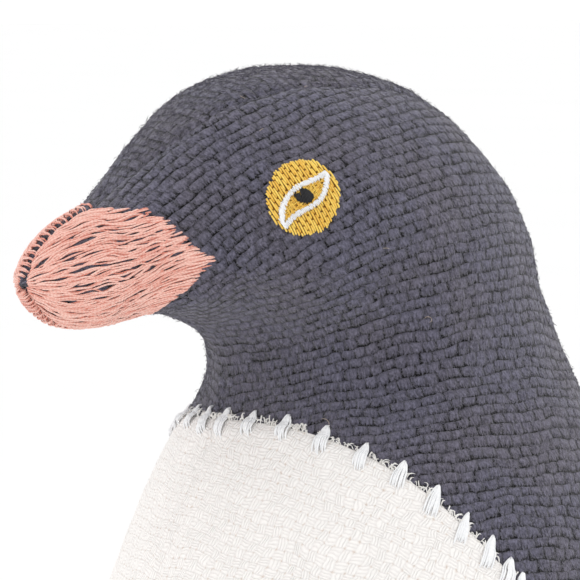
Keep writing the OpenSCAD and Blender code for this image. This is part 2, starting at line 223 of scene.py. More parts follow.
def relief(k, a):
    """How far the stuffed cloth stands off its plain shape: lumps, a valley, and puckered seams."""
    k, a = np.broadcast_arrays(np.asarray(k, float), np.asarray(a, float))
    turn = 180 - np.abs(180 - np.abs(a))
    place = on_skin(k, turn)
    rise = sum(height * lumps(place, size, seed) for height, size, seed in LUMPS)
    height, size, seed = LOW_LUMPS
    rise += np.clip((LOW_LUMPS_TOP - place[..., 2]) / 40, 0, 1) * height * lumps(place, size, seed)
    dent = np.zeros(k.shape)
    for low, high in zip(VALLEY[:-1], VALLEY[1:]):
        for share in np.linspace(0, 1, 6):
            kv, av, depth = low + (high - low) * share
            distance = np.linalg.norm(place - on_skin(kv, av), axis=-1)
            dent = np.maximum(dent, depth * np.exp(-(distance / VALLEY_WIDTH) ** 2))
    rise -= dent
    beak = np.clip((k - BEAK_START) / 1.5, 0, 1)
    seams = ((0 * k, 0.35 + 0.45 * beak, RUNS[0]), (180 - gap_turn(k), 0.3 + 0.5 * beak, RUNS[1]))
    for seam, depth, runs in seams:
        distance = np.linalg.norm(place - on_skin(k, seam), axis=-1)
        run = np.interp(k, RUN_K, runs)
        rise -= depth * np.exp(-(distance / SEAM_WIDTH) ** 2)
        pucker = sum(np.sin(run * 2 * math.pi / pitch) for pitch in PUCKER_PITCHES)
        rise += PUCKER_HEIGHT * np.exp(-distance / PUCKER_REACH) * pucker
    return rise


def surface(k, a, d=0.0):
    """Points at distance d outside the stuffed cloth."""
    return skin(k, a, relief(k, a) + d)


# --- Meshes ---

def mesh_object(name, points, quads, uv=None, tone=None):
    """An object from points in millimetres and quads, with a "cloth" UV map in metres and a tone."""
    mesh = bpy.data.meshes.new(name)
    mesh.vertices.add(len(points))
    mesh.vertices.foreach_set("co", (points * MM).astype(np.float32).ravel())
    mesh.loops.add(quads.size)
    mesh.loops.foreach_set("vertex_index", quads.astype(np.int32).ravel())
    mesh.polygons.add(len(quads))
    mesh.polygons.foreach_set("loop_start", np.arange(0, quads.size, 4, dtype=np.int32))
    mesh.polygons.foreach_set("use_smooth", np.ones(len(quads), bool))
    mesh.update(calc_edges=True)
    if uv is not None:
        layer = mesh.uv_layers.new(name="cloth")
        layer.data.foreach_set("uv", (uv[quads.ravel()] * MM).astype(np.float32).ravel())
    if tone is not None:
        attribute = mesh.attributes.new("tone", "FLOAT", "POINT")
        attribute.data.foreach_set("value", tone.astype(np.float32))
    mesh.validate()
    obj = bpy.data.objects.new(name, mesh)
    bpy.context.scene.collection.objects.link(obj)
    return obj


def grid_quads(rows, cols):
    """Quads of a grid whose rows go up and whose columns go right, seen from outside."""
    i, j = np.meshgrid(np.arange(rows - 1), np.arange(cols - 1), indexing="ij")
    a = (i * cols + j).ravel()
    return np.stack([a, a + 1, a + cols + 1, a + cols], -1)


def grid_object(name, grid, uv):
    """An object from a grid of points, with the place of each on the flat cloth."""
    return mesh_object(name, grid.reshape(-1, 3), grid_quads(*grid.shape[:2]), uv=uv.reshape(-1, 2))


def arc(points, axis):
    """Distance run along one axis of a grid of points, from its first row or column."""
    steps = np.linalg.norm(np.diff(points, axis=axis), axis=-1)
    return np.concatenate([np.zeros_like(np.take(steps, [0], axis)), np.cumsum(steps, axis)], axis)


def grid_area(grid):
    """Area covered by a grid of places in the plane or in space."""
    u, v = np.diff(grid, axis=0)[:, :-1], np.diff(grid, axis=1)[:-1]
    if grid.shape[-1] == 2:
        return np.abs(u[..., 0] * v[..., 1] - u[..., 1] * v[..., 0]).sum()
    return np.linalg.norm(np.cross(u, v), axis=-1).sum()


COARSE_ROWS, COARSE_COLS = 64, 26


def flatten(points, turn_at, turn):
    """Lays a grid out flat, as the cloth it was cut from, and gives each point's place in mm.

    The cloth's thread direction at grid index turn_at is turned so that its rows rise by turn
    degrees to the right of the level there.
    """
    rows, cols = points.shape[:2]
    ri, ci = (np.unique(np.linspace(0, full - 1, few).round().astype(int))
              for full, few in ((rows, COARSE_ROWS), (cols, COARSE_COLS)))
    coarse = points[np.ix_(ri, ci)]
    obj = grid_object("flattening", coarse, np.zeros((coarse.size // 3, 2)))
    bpy.context.view_layer.objects.active = obj
    obj.select_set(True)
    bpy.ops.object.mode_set(mode="EDIT")
    bpy.ops.mesh.select_all(action="SELECT")
    bpy.ops.uv.unwrap(method="MINIMUM_STRETCH", iterations=12, margin=0)
    bpy.ops.object.mode_set(mode="OBJECT")
    corners = len(obj.data.loops)
    loops = np.zeros(corners * 2)
    obj.data.uv_layers["cloth"].data.foreach_get("uv", loops)
    index = np.zeros(corners, int)
    obj.data.loops.foreach_get("vertex_index", index)
    flat = np.zeros((coarse.size // 3, 2))
    flat[index] = loops.reshape(-1, 2)
    bpy.data.objects.remove(obj)
    flat = flat.reshape(len(ri), len(ci), 2)

    flat *= math.sqrt(grid_area(coarse) / grid_area(flat))
    right, up = flat[1, 1] - flat[1, 0], flat[2, 0] - flat[1, 0]
    if right[0] * up[1] < right[1] * up[0]:
        flat[..., 1] *= -1
    wide = np.apply_along_axis(lambda line: np.interp(np.arange(cols), ci, line), 1, flat)
    full = np.apply_along_axis(lambda line: np.interp(np.arange(rows), ri, line), 0, wide)

    r, c = turn_at
    along, step = (grid[r, c + 2] - grid[r, c - 2] for grid in (full, points))
    slope = math.atan2(step[2], np.hypot(step[0], step[1]))
    angle = slope - math.radians(turn) - math.atan2(along[1], along[0])
    turn_matrix = np.array([[math.cos(angle), -math.sin(angle)], [math.sin(angle), math.cos(angle)]])
    return full @ turn_matrix.T


# Each thread's pattern starts this many mm further on than the one before
THREAD_SHIFT = 7.3


def tubes(name, paths, normals, width, height, tone=None, sides=6, taper=0.35, ends=2):
    """One mesh of many threads. Each path is a row of points, and has the surface's normals.

    width and height are the thread's half sizes across and off the surface.
    """
    paths, normals = np.asarray(paths, float), np.asarray(normals, float)
    count, steps = paths.shape[:2]
    tangent = unit_vector(np.gradient(paths, axis=1))
    side = unit_vector(np.cross(tangent, normals))
    up = np.cross(side, tangent)
    shrink = np.ones(steps)
    for e in range(ends):
        shrink[e] = shrink[-1 - e] = taper + (1 - taper) * e / ends
    width, height = (np.asarray(half, float).reshape(-1, 1) * shrink for half in (width, height))
    theta = np.arange(sides) * 2 * math.pi / sides
    offset = (side[:, :, None] * (width[..., None] * np.cos(theta))[..., None]
              + up[:, :, None] * (height[..., None] * np.sin(theta))[..., None])
    points = (paths[:, :, None] + offset).reshape(-1, 3)
    start = np.arange(count)[:, None] * steps * sides
    finish = start + (steps - 1) * sides
    here = start[..., None] + np.arange(steps - 1)[:, None] * sides
    j = np.arange(sides)
    k = (j + 1) % sides
    quads = np.stack([here + j, here + sides + j, here + sides + k, here + k], -1)
    caps = []
    for q in range(0, sides - 2, 2):
        corners = [0, q + 1, q + 2, min(q + 3, sides - 1)]
        if len(set(corners)) == 4:
            caps.append(np.concatenate([start + c for c in corners], 1))
            caps.append(np.concatenate([finish + c for c in reversed(corners)], 1))
    quads = np.concatenate([quads.reshape(-1, 4), *caps])
    run = arc(paths, 1) + THREAD_SHIFT * np.arange(count)[:, None]
    uv = np.stack(np.broadcast_arrays(run[..., None], j / sides), -1).reshape(-1, 2)
    tone = rng.uniform(0, 1, count) if tone is None else tone
    tones = np.repeat(tone, steps * sides)
    return mesh_object(name, points, quads, uv=uv, tone=tones)


def mirror_copy(obj, name):
    """The same piece on the other side."""
    mesh = obj.data.copy()
    mesh.name = name
    mesh.transform(Matrix.Diagonal((-1, 1, 1, 1)))
    mesh.flip_normals()
    copy = bpy.data.objects.new(name, mesh)
    bpy.context.scene.collection.objects.link(copy)
    return copy


# --- Materials ---

def operation(name):
    """A method of Value that adds a math node."""
    def apply(self, *others):
        return self.shader.math(name, self, *others)
    return apply


class Value:
    """An output of a material's node. Arithmetic on it adds the nodes that work it out."""

    def __init__(self, shader, socket):
        self.shader = shader
        self.socket = socket

    def __rsub__(self, other):
        return self.shader.math("SUBTRACT", other, self)

    __add__ = operation("ADD")
    __sub__ = operation("SUBTRACT")
    __mul__ = operation("MULTIPLY")
    __truediv__ = operation("DIVIDE")
    __mod__ = operation("FLOORED_MODULO")
    __pow__ = operation("POWER")
    __gt__ = operation("GREATER_THAN")
    __abs__ = operation("ABSOLUTE")
    __floor__ = operation("FLOOR")


class Shader:
    """A node material whose methods each add a node and give its output as a Value."""

    def __init__(self, name):
        self.material = bpy.data.materials.new(name)
        self.material.use_nodes = True
        self.tree = self.material.node_tree
        self.surface = self.tree.nodes["Principled BSDF"]

    def plug(self, socket, value):
        """Links a Value to an input, or sets the input to a plain value."""
        if isinstance(value, Value):
            self.tree.links.new(value.socket, socket)
        elif value is not None:
            socket.default_value = value

    def add(self, kind, values=(), output=0, **settings):
        node = self.tree.nodes.new(kind)
        for key, value in settings.items():
            setattr(node, key, value)
        for socket, value in (values.items() if isinstance(values, dict) else enumerate(values)):
            self.plug(node.inputs[socket], value)
        return Value(self, node.outputs[output])

    def math(self, operation, *values):
        return self.add("ShaderNodeMath", values, operation=operation)

    def vector(self, x, y):
        return self.add("ShaderNodeCombineXYZ", (x, y))

    def noise(self, vector, scale, detail=2.0, roughness=0.5, output=0):
        values = {"Vector": vector, "Scale": scale, "Detail": detail, "Roughness": roughness}
        return self.add("ShaderNodeTexNoise", values, output)

    def white(self, x, y):
        return self.add("ShaderNodeTexWhiteNoise", {"Vector": self.vector(x, y)}, noise_dimensions="2D")

    def mix(self, share, a, b):
        return self.add("ShaderNodeMix", {0: share, 6: a, 7: b}, output=2, data_type="RGBA")

    def range(self, value, low, high, to_low=0.0, to_high=1.0):
        return self.add("ShaderNodeMapRange", (value, low, high, to_low, to_high))

    def bump(self, height, distance):
        return self.add("ShaderNodeBump", {"Strength": 1.0, "Distance": distance, "Height": height})

    def uv(self):
        """The place on the flat cloth, in millimetres."""
        place = self.add("ShaderNodeUVMap", uv_map="cloth")
        return [self.add("ShaderNodeSeparateXYZ", (place,), n) * (1 / MM) for n in (0, 1)]

    def warp(self, u, v, scale, amount):
        """Pushes a place on the cloth about by up to half of amount, as a noise of the given scale."""
        noise = self.noise(self.vector(u, v), scale, 1.0, output=1)
        parts = [self.add("ShaderNodeSeparateColor", (noise,), n) for n in (0, 1)]
        return [(part - 0.5) * amount + place for part, place in zip(parts, (u, v))]

    def fraction(self, value):
        """How far value lies from the middle of its own whole step, from -0.5 to 0.5."""
        return self.math("FRACT", value) - 0.5

    def finish(self, color, roughness, normal=None, **fixed):
        for name, value in (("Base Color", color), ("Roughness", roughness), ("Normal", normal)):
            self.plug(self.surface.inputs[name], value)
        for name, value in fixed.items():
            self.surface.inputs[name.replace("_", " ")].default_value = value
        return self.material


def rgb(red, green, blue):
    """A colour given in display values from 0 to 255, for a material."""
    def linear(c):
        c /= 255
        return c / 12.92 if c <= 0.04045 else ((c + 0.055) / 1.055) ** 2.4
    return (linear(red), linear(green), linear(blue), 1)


def ridges(s, place):
    """Rounded ridges, one to each whole step of place, from 0 between two to 1 on top."""
    offset = s.fraction(place)
    return 1.0 - offset * offset * 4.0


BASKET_PITCH, BASKET_ROW = 2.6, 1.85
YARNS = 3.0


def basket_cloth(name, shade, light, dark, fleck):
    """Coarse basket weave: rows of rounded blocks, each of three yarns, set like bricks, with painted shade
    between blocks and yarns.
    """
    s = Shader(name)
    u, v = s.uv()
    x, y = s.warp(*s.warp(u, v, 0.1, 2.6), 0.6, 0.7)
    y = y / BASKET_ROW
    row = math.floor(y)
    x = x / BASKET_PITCH + row * 0.5
    block = math.floor(x)
    own, other = s.white(block, row), s.white(row + 31.0, block)
    streak = s.noise(s.vector(u * 2.8, v), 1.0, 3.0, 0.7)
    fluff = s.noise(s.vector(u, v), 1.9, 4.0, 0.75)
    streaks, fluffs = s.range(streak, 0.4, 0.6), s.range(fluff, 0.4, 0.6)

    across = (own - 0.5) * 0.16 + (fluffs - 0.4) * 0.16 + s.fraction(x)
    up = (other - 0.5) * 0.22 + (streaks - 0.75) * 0.2 + s.fraction(y)
    tall = abs(up * 2.0) ** 2.6
    edge = abs(across * 2.0) ** 4.0 + tall
    crown = s.range(edge, 0.0, 1.3, 1.0, 0.0)
    # pit: painted shadow where the blocks meet, strongest at each block's lower left corner
    pit = s.range(edge, 0.7, 1.7) * s.range(across + up, -0.55, 0.45, 1.25, 0.35)

    turned = other > 0.84
    upright = across * (tall * 0.3 + 1.0) * YARNS + 0.5
    level = up * YARNS + 0.5
    place = upright * (1.0 - turned) + level * turned
    ridge = ridges(s, place)
    yarn = s.white(block * YARNS + math.floor(place), row)
    height = crown * 0.8 + ridge * 0.14 + streaks * 0.14 + fluffs * 0.16

    # crown and up in the tone are painted shading: each block lighter in its middle and upper part, darker
    # towards its lower edge
    tone = own * 0.1 + yarn * 0.08 + streaks * 0.42 + fluffs * 0.34 + crown * 0.26 + up * 0.22 - 0.1
    patch = s.range(s.noise(s.vector(u, v), 0.07, 2.0), 0.42, 0.62)
    color = s.mix(patch * 0.4, s.mix(tone, shade, light), s.mix(tone, rgb(49, 43, 48), rgb(127, 121, 132)))
    # depth: how much painted shade, the colour dark, goes into the pits and the grooves between yarns
    depth = (pit * 1.1 + (1.0 - ridge) * 0.1) * s.range(own, 0.0, 1.0, 1.15, 0.55)
    color = s.mix(depth, color, dark)
    sparkle = s.noise(s.vector(u * 2.2, v), 4.0, 2.0, 0.5)
    color = s.mix(s.range(sparkle, 0.66, 0.74) * 0.55, color, fleck)
    return s.finish(color, s.range(height, 0.3, 1.5, 0.97, 0.82), s.bump(height, 0.34 * MM),
                    Specular_IOR_Level=0.15, Sheen_Weight=0.3, Sheen_Roughness=0.4)


FLOAT_BLOCK = 1.7


def cream_cloth():
    """A balanced basket weave: blocks of upright floats beside blocks of level ones."""
    s = Shader("cream_cloth")
    u, v = s.uv()
    place = [c / FLOAT_BLOCK for c in s.warp(*s.warp(u, v, 0.12, 2.4), 0.6, 0.9)]
    index = [math.floor(c) for c in place]
    local = [s.fraction(c) for c in place]
    upright = (index[0] + index[1]) % 2.0

    def floats(across, along):
        """Three floats side by side that swell along their length."""
        swell = 1.0 - along * along * 1.8
        return (ridges(s, across * YARNS + 0.5) * 0.6 + 0.4) * swell

    lying = floats(local[1], local[0]) * 0.85
    standing = floats(local[0], local[1]) * 1.15
    fluff = s.noise(s.vector(u, v), 2.4, 5.0, 0.72)
    height = (standing - lying) * upright + lying + fluff * 0.6
    far = [s.range(abs(c), 0.28, 0.5) for c in local]
    hole = far[0] * far[1] * s.range(s.white(*index), 0.35, 0.9)
    # Lighter on raised floats and darker in the grooves: painted shading of the floats, with the fibres' own
    # fluff
    color = s.mix(s.range(height, 0.35, 1.15), rgb(236, 231, 228), rgb(253, 250, 247))
    color = s.mix(hole * 0.75, color, rgb(208, 182, 160))
    return s.finish(color, s.range(height, 0.2, 1.2, 0.95, 0.85), s.bump(height, 0.2 * MM),
                    Specular_IOR_Level=0.2, Sheen_Weight=0.1, Sheen_Roughness=0.5)


FULL_TURN = 6.283


def thread_material(name, dark, light, twist=1.6, roughness=0.5, sheen=0.4):
    """Twisted thread: each strand has its own tone, and its ply runs slantwise round it with painted shading
    along its turns.
    """
    s = Shader(name)
    u, v = s.uv()
    turns = u * twist + v * (2 * MM)
    ply = s.math("SINE", turns * FULL_TURN) * 0.5 + 0.5
    own = s.add("ShaderNodeAttribute", attribute_name="tone", output=2)
    fibre = s.noise(s.vector(u * 1.5, v * (9000 * MM)), 2.0, 3.0, 0.6)
    # The ply term is painted shading of the twist; the light colour is partly painted highlight, partly the
    # strands' own paler tone.
    tone = own * 0.55 + ply * 0.2 + fibre * 0.3
    return s.finish(s.mix(tone, dark, light), s.range(tone, 0.0, 1.0, roughness + 0.1, roughness - 0.05),
                    s.bump(ply + fibre * 0.6, 0.05 * MM),
                    Specular_IOR_Level=0.4, Sheen_Weight=sheen, Sheen_Roughness=0.4)


def plain_cloth(name, low, high, scale=900.0):
    """A soft, even material: lining, fibre, granules and lint."""
    s = Shader(name)
    place = s.add("ShaderNodeTexCoord", output=3)
    grain = s.noise(place, scale, 4.0, 0.6)
    color = s.mix(grain, low, high)
    return s.finish(color, s.range(grain, 0.2, 0.8, 0.95, 0.8), s.bump(grain, 0.4 * MM),
                    Specular_IOR_Level=0.25)


def floor_material():
    """A pale, matt floor."""
    s = Shader("studio_floor")
    place = s.add("ShaderNodeTexCoord", output=3)
    grain = s.noise(place, 3.0, 2.0)
    return s.finish(s.mix(grain, (0.94, 0.94, 0.94, 1), (0.96, 0.96, 0.96, 1)), 0.9)


# Each basket weave's third colour is the painted shade in its pits and grooves
MATERIALS = {
    "slate_cloth": basket_cloth("slate_cloth", rgb(41, 39, 47), rgb(121, 119, 138),
                                rgb(10, 9, 12), rgb(176, 169, 178)),
    "cream_cloth": cream_cloth(),
    "salmon_cloth": basket_cloth("salmon_cloth", rgb(205, 120, 98), rgb(238, 164, 142),
                                 rgb(140, 70, 55), rgb(255, 214, 200)),
    "salmon_thread": thread_material("salmon_thread", rgb(216, 110, 84), rgb(255, 217, 204), sheen=0.25),
    "yellow_thread": thread_material("yellow_thread", rgb(232, 168, 44), rgb(255, 226, 112), sheen=0.2),
    "white_thread": thread_material("white_thread", rgb(236, 238, 242), rgb(255, 255, 255), twist=1.1),
    "black_thread": thread_material("black_thread", rgb(10, 10, 12), rgb(34, 34, 38), sheen=0.0),
    "slate_thread": thread_material("slate_thread", rgb(52, 50, 57), rgb(96, 94, 104), roughness=0.7),
    "slate_fibre": plain_cloth("slate_fibre", rgb(66, 63, 72), rgb(122, 119, 130), 2500.0),
    "slate_nap": plain_cloth("slate_nap", rgb(57, 55, 64), rgb(135, 132, 148), 1500.0),
    "cream_thread": thread_material("cream_thread", rgb(228, 224, 218), rgb(252, 251, 249), roughness=0.8),
    # Dark amber mat under the eye's stitches: painted shade between them
    "eye_ground": plain_cloth("eye_ground", rgb(122, 82, 28), rgb(172, 120, 44), 2500.0),
    "lint": plain_cloth("lint", rgb(150, 126, 104), rgb(214, 204, 196), 2500.0),
    "backing": plain_cloth("backing", rgb(218, 214, 204), rgb(236, 233, 226)),
    "stuffing": plain_cloth("stuffing", rgb(240, 240, 236), rgb(250, 250, 248), 300.0),
    "pellets": plain_cloth("pellets", rgb(225, 225, 218), rgb(240, 240, 235), 500.0),
}
RECORD_SLOTS = {"cream_thread": "white_thread", "eye_ground": "yellow_thread", "lint": "white_thread",
                "slate_fibre": "slate_cloth", "slate_nap": "slate_cloth"}


def dress(obj, material, body, *nodes):
    """Gives a piece its material, sets the body it rides on and hides the CAD nodes it stands for."""
    obj.data.materials.clear()
    obj.data.materials.append(MATERIALS[material])
    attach(obj, body)
    RECORD_SLOTS.get(material, material)
    if nodes:
        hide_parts(*nodes)
    return obj


def sew(piece, material, *nodes, body="torso", fill=None):
    """Dresses a piece and adds the mirror image of a left piece."""
    pieces = [piece]
    if "left" in piece.name:
        pieces.append(mirror_copy(piece, piece.name.replace("left", "right")))
    for copy, side in zip(pieces, ("left", "right")):
        dress(copy, material, body.replace("left", side), *(node.replace("left", side) for node in nodes))
    return pieces


# --- Skin panels ---

# Most distance between two rows of the skin, below and above a position on the spine
BODY_ROW, HEAD_ROW = 1.2, 0.5
BODY_TOP = 8


def skin_rows():
    """Positions along the spine, close together on the head and further apart low on the body."""
    k = np.linspace(0, LAST, 2400)
    path = np.stack([on_skin(k, a) for a in (0, 60, 90, 120, 150, 180)])
    step = np.linalg.norm(np.diff(path, axis=1), axis=-1).max(0)
    spacing = np.where(k[1:] < BODY_TOP, BODY_ROW, HEAD_ROW)
    run = np.concatenate([[0], np.cumsum(step / spacing)])
    return np.append(np.interp(np.arange(0, run[-1] - 0.5), run, k), LAST)


SEAM_ALLOWANCE = 1.2
PANEL_FILL = 0.9
# On this ring the side panel's weave rises by so many degrees to the right of the level
LEVEL_RING = 15
WEAVE_RISE = 24


def skin_piece(name, k, a, level_row, rise_to_right, closed_tip=False):
    """A panel of the dark cloth over rows k and angles a, with its edges turned in at the seams."""
    base = on_skin(k, a)
    points = surface(k, a)
    uv = flatten(base, (level_row, base.shape[1] // 2), rise_to_right)
    turned = SEAM_ALLOWANCE * outward(k, a)
    points = np.concatenate([points[:, :1] - turned[:, :1], points, points[:, -1:] - turned[:, -1:]], 1)
    uv = np.concatenate([uv[:, :1], uv, uv[:, -1:]], 1)
    if closed_tip:
        middle = (on_skin(LAST, 0) + on_skin(LAST, 180)) / 2 - [0, 0.5, 0]
        for share in (0.5, 0.02):
            points = np.concatenate([points, middle + share * (points[-1:] - middle)])
            uv = np.concatenate([uv, uv[-1:]])
    return grid_object(name, points, uv)


def side_panel_places(cols=190):
    """Rings and angles of the left side panel, from the front seam to the back one."""
    k = skin_rows()
    a = (180 - gap_turn(k))[:, None] * np.linspace(0, 1, cols)
    return k[:, None] + 0 * a, a


def gusset_places(k, cols):
    """Angles of the strip over the crown on the rings k, from its left seam to its right one."""
    a = 180 + gap_turn(k)[:, None] * np.linspace(-1, 1, cols)
    return k[:, None] + 0 * a, a


def side_panel():
    """The left half of the skin, from the base to the tip of the beak."""
    k, a = side_panel_places()
    level_row = int(np.argmin(np.abs(k[:, 0] - LEVEL_RING)))
    return skin_piece("side_panel_left_cloth", k, a, level_row, WEAVE_RISE, closed_tip=True)


def gusset():
    """The strip over the crown."""
    k, a = gusset_places(np.arange(GUSSET[0, 0], GUSSET[-1, 0] + 0.01, 0.045), 75)
    return skin_piece("head_gusset_cloth", k, a, len(k) // 2, 0)


left_panel, right_panel = sew(side_panel(), "slate_cloth", "side_panel_left", fill=PANEL_FILL)
sew(gusset(), "slate_cloth", "head_gusset", fill=PANEL_FILL)

# --- White front ---

# Heights of the white front's upper edge in the middle, its fall to the sides and its lower edge,
# and the angle round the body that it reaches
FRONT_TOP = 189.5
FRONT_DROP = 27
FRONT_LOW = 4
FRONT_WRAP = 86
# Its cut edge lies this far off the dark cloth, and its face this much further
FRONT_LIFT = 0.25
FRONT_T = 0.75
# Its weave falls to the right by so many degrees, and a dart is sewn into its upper edge
FRONT_WEAVE_RISE = -8
DART_ANGLE, DART_DEPTH, DART_WIDTH, DART_LENGTH = 2, 0.45, 1.2, 12


def front_place(c, r):
    """Ring and angle of the white front: c from -1 to 1 around the body, r from 0 to 1 up it."""
    top = FRONT_TOP - FRONT_DROP * np.abs(c) ** 3
    z = FRONT_LOW + (top - FRONT_LOW) * r
    return ring_at_height(z), c * FRONT_WRAP


def white_front(count=260):
    """The white cloth, its flat width and length, and the area it needs, in metres."""
    spread = np.linspace(0, 1, count)
    k, a = front_place(2 * spread[None, :] - 1, spread[:, None])
    base = on_skin(k, a)
    side = arc(base, 1)
    up = arc(base, 0)
    to_top = up[-1:] - up
    to_edge = np.minimum(np.minimum(side, side[:, -1:] - side), to_top)
    rise = FRONT_LIFT + FRONT_T * (1 - np.exp(-to_edge / 0.8))
    from_dart = np.linalg.norm(base - on_skin(k, DART_ANGLE + 0 * a), axis=-1)
    dart = np.exp(-(from_dart / DART_WIDTH) ** 2) * np.clip(1 - to_top / DART_LENGTH, 0, 1)
    rise -= DART_DEPTH * dart
    points = surface(k, a, rise)
    uv = flatten(base, (count // 2, count // 2), FRONT_WEAVE_RISE)
    uv += 0.25 * np.stack([lumps(base, 8, 8), lumps(base, 8, 9)], -1)
    cloth = grid_object("white_front_cloth", points, uv)
    return cloth, (side.max() * MM, up.max() * MM), grid_area(base) * MM ** 2


front, front_cut, front_area = white_front()
dress(front, "cream_cloth", "torso", "belly_panel")

# --- Stitched and frayed edge of the white front ---

STITCH_PITCH = 6.4
# Half the length of the upper edge, and the height at which the side's stitches end
TOP_HALF, SIDE_END = 72, 14
TOP_COUNT = round(TOP_HALF * UNIT / STITCH_PITCH)
SIDE_HEIGHT = FRONT_TOP - FRONT_DROP - FRONT_LOW
SIDE_COUNT = math.floor((FRONT_TOP - FRONT_DROP - SIDE_END) * UNIT / STITCH_PITCH)
FRONT_FACE = FRONT_LIFT + FRONT_T
# How far a whip stitch reaches into the dark and into the white cloth, and how wide it fans out
WHIP_TIP, WHIP_FOOT, WHIP_SPREAD = (2.3, 3.1), (2.0, 3.0), (1.35, 1.8)


def scale_at(k, a):
    """Millimetres for each step of one ring and of one degree, at a place on the skin."""
    along = np.linalg.norm(on_skin(k + 0.05, a) - on_skin(k - 0.05, a), axis=-1) / 0.1
    around = np.linalg.norm(on_skin(k, a + 0.5) - on_skin(k, a - 0.5), axis=-1)
    return along, around


def across_edge(k, a, out_angle, out, side):
    """Places about a point of the edge: out mm away from the white cloth, side mm along its edge."""
    along, around = scale_at(k, a)
    angle = math.radians(out_angle)
    rise = out * math.cos(angle) - side * math.sin(angle)
    turn = out * math.sin(angle) + side * math.cos(angle)
    return k + rise / along, a + turn / around


def threads_on_cloth(name, places, width, height, on=surface, **shape):
    """One mesh of threads, each given by its rings, its angles and its heights above the cloth."""
    k, a, lift = (np.array(rows) for rows in zip(*places))
    return tubes(name, on(k, a, lift), outward(k, a), width, height, **shape)


def edge_stitches():
    """Middles of the whip stitches (ring, angle) and their lean from upright in degrees."""
    places = []
    for i in range(TOP_COUNT):
        c = math.sin(math.radians(90 * (i + 0.5) / (TOP_COUNT + 0.5)))
        k, a = front_place(c, 1.0)
        places.append((float(k), float(a), 8 + 12 * c))
    for i in range(1, SIDE_COUNT + 1):
        k, a = front_place(1.0, 1 - i * STITCH_PITCH / (SIDE_HEIGHT * UNIT))
        places.append((float(k), float(a), min(90, 20 + 35 * i)))
    return places


def whip_stitches(strands=7, steps=12):
    """Each stitch is a fan of strands from a narrow tip in the dark cloth into the white."""
    places, tones = [], []
    t = np.linspace(0, 1, steps)
    for k, a, lean in edge_stitches():
        tip, foot, spread = (rng.uniform(*span) for span in (WHIP_TIP, WHIP_FOOT, WHIP_SPREAD))
        for strand in np.linspace(-1, 1, strands):
            out = tip - (tip + foot + rng.uniform(0, 1)) * t + rng.uniform(-0.25, 0.25) * (1 - t)
            fan = np.sin(np.minimum(1, t * 1.7) * np.pi / 2) ** 0.8 * (1 + 0.25 * t)
            side = strand * spread / 2 * fan + rng.uniform(-0.1, 0.1) + 0.5 * (1 - t) ** 2
            over = 1 / (1 + np.exp(out / 0.3))
            arch = 0.4 * (1 - strand ** 2) * np.sin(np.pi * t) ** 0.7
            sink = 0.7 * np.clip((t - 0.86) / 0.14, 0, 1) + 0.6 * np.clip((0.08 - t) / 0.08, 0, 1)
            lift = 0.35 + (FRONT_FACE + 0.05) * over + arch - sink
            places.append((*across_edge(k, a, lean, out, side), lift))
            tones.append(rng.uniform(0.45, 1))
    return threads_on_cloth("belly_stitches_left_threads", places, 0.2, 0.17, tone=tones, taper=0.55)


def frayed_edge(count=560, steps=8, top_share=0.4):
    """Loose ends of the white yarns, which curl out from under the cloth's cut edge."""
    places, sizes = [], []
    t = np.linspace(0, 1, steps)
    for n in range(count):
        on_top = n < count * top_share
        c, r = (rng.uniform(0, 1), 1.0) if on_top else (1.0, rng.uniform(0.02, 1))
        k, a = (float(value) for value in front_place(c, r))
        lean = rng.normal(10 if on_top else 90, 16)
        reach = rng.uniform(0.35, 1.2) * rng.choice([1, 1.5], p=[0.85, 0.15])
        curl = rng.uniform(-1, 1) * 1.3
        out = -0.25 + (0.25 + reach) * np.sin(t * np.pi / 2 * rng.uniform(0.9, 1.35))
        side = curl * t ** 2 + rng.uniform(-0.3, 0.3) * np.sin(3 * t)
        lift = FRONT_LIFT * (1 - t) + 0.15 + rng.uniform(0, 0.45) * np.sin(np.pi * t)
        places.append((*across_edge(k, a, lean, out, side), lift))
        sizes.append(rng.uniform(0.08, 0.15))
    return threads_on_cloth("belly_panel_left_fray", places, sizes, sizes, sides=5, taper=0.4)


sew(whip_stitches(), "white_thread", "belly_stitches_left")
fray = sew(frayed_edge(), "cream_thread")

# --- Beak embroidery ---

# Ring and angle of the leaf's point on the cheek, and how many rings further on it ends on the ridge
LEAF_POINT, LEAF_LENGTH = 17.4, 4.3
BEAK_REAR_ANGLE = 60
BEAK_FRONT = LAST - 0.02
# Where the seam's stitches start on the ridge, turn round the tip and end underneath
SEAM_TOP, SEAM_TIP, SEAM_BELOW = 21.3, 24.9, 19.6


def beak_rear(a):
    """The rear edge of the beak embroidery, a leaf shape that points back along the cheek."""
    rise = np.maximum(0, a - BEAK_REAR_ANGLE) / (180 - BEAK_REAR_ANGLE)
    return LEAF_POINT + LEAF_LENGTH * rise ** 0.62


def lane_angle(lane, k):
    """A lane of beak stitches starts at the seam and bends back towards the leaf's point."""
    f = np.clip(1 - 0.8 * (21.5 - k) / 4.1, 0.15, 1)
    angle = np.where(lane > BEAK_REAR_ANGLE, BEAK_REAR_ANGLE + (lane - BEAK_REAR_ANGLE) * f, lane)
    return 90 + (angle - 90) * (1 + 0.9 * (np.maximum(k - BEAK_START, 0) / (LAST - BEAK_START)) ** 1.5)


def gap_drift(k, lane, size, gaps):
    """How far a strand is pushed aside, in mm, by the lens-shaped gaps near it."""
    drift = np.zeros(len(k))
    for gap_k, gap_lane, length, push in gaps:
        along = (k - gap_k) * 3.2 / length
        across = (lane - gap_lane) / 57.3 * size
        drift += np.sign(across) * push * np.exp(-along ** 2 - (across / 0.65) ** 2)
    return drift


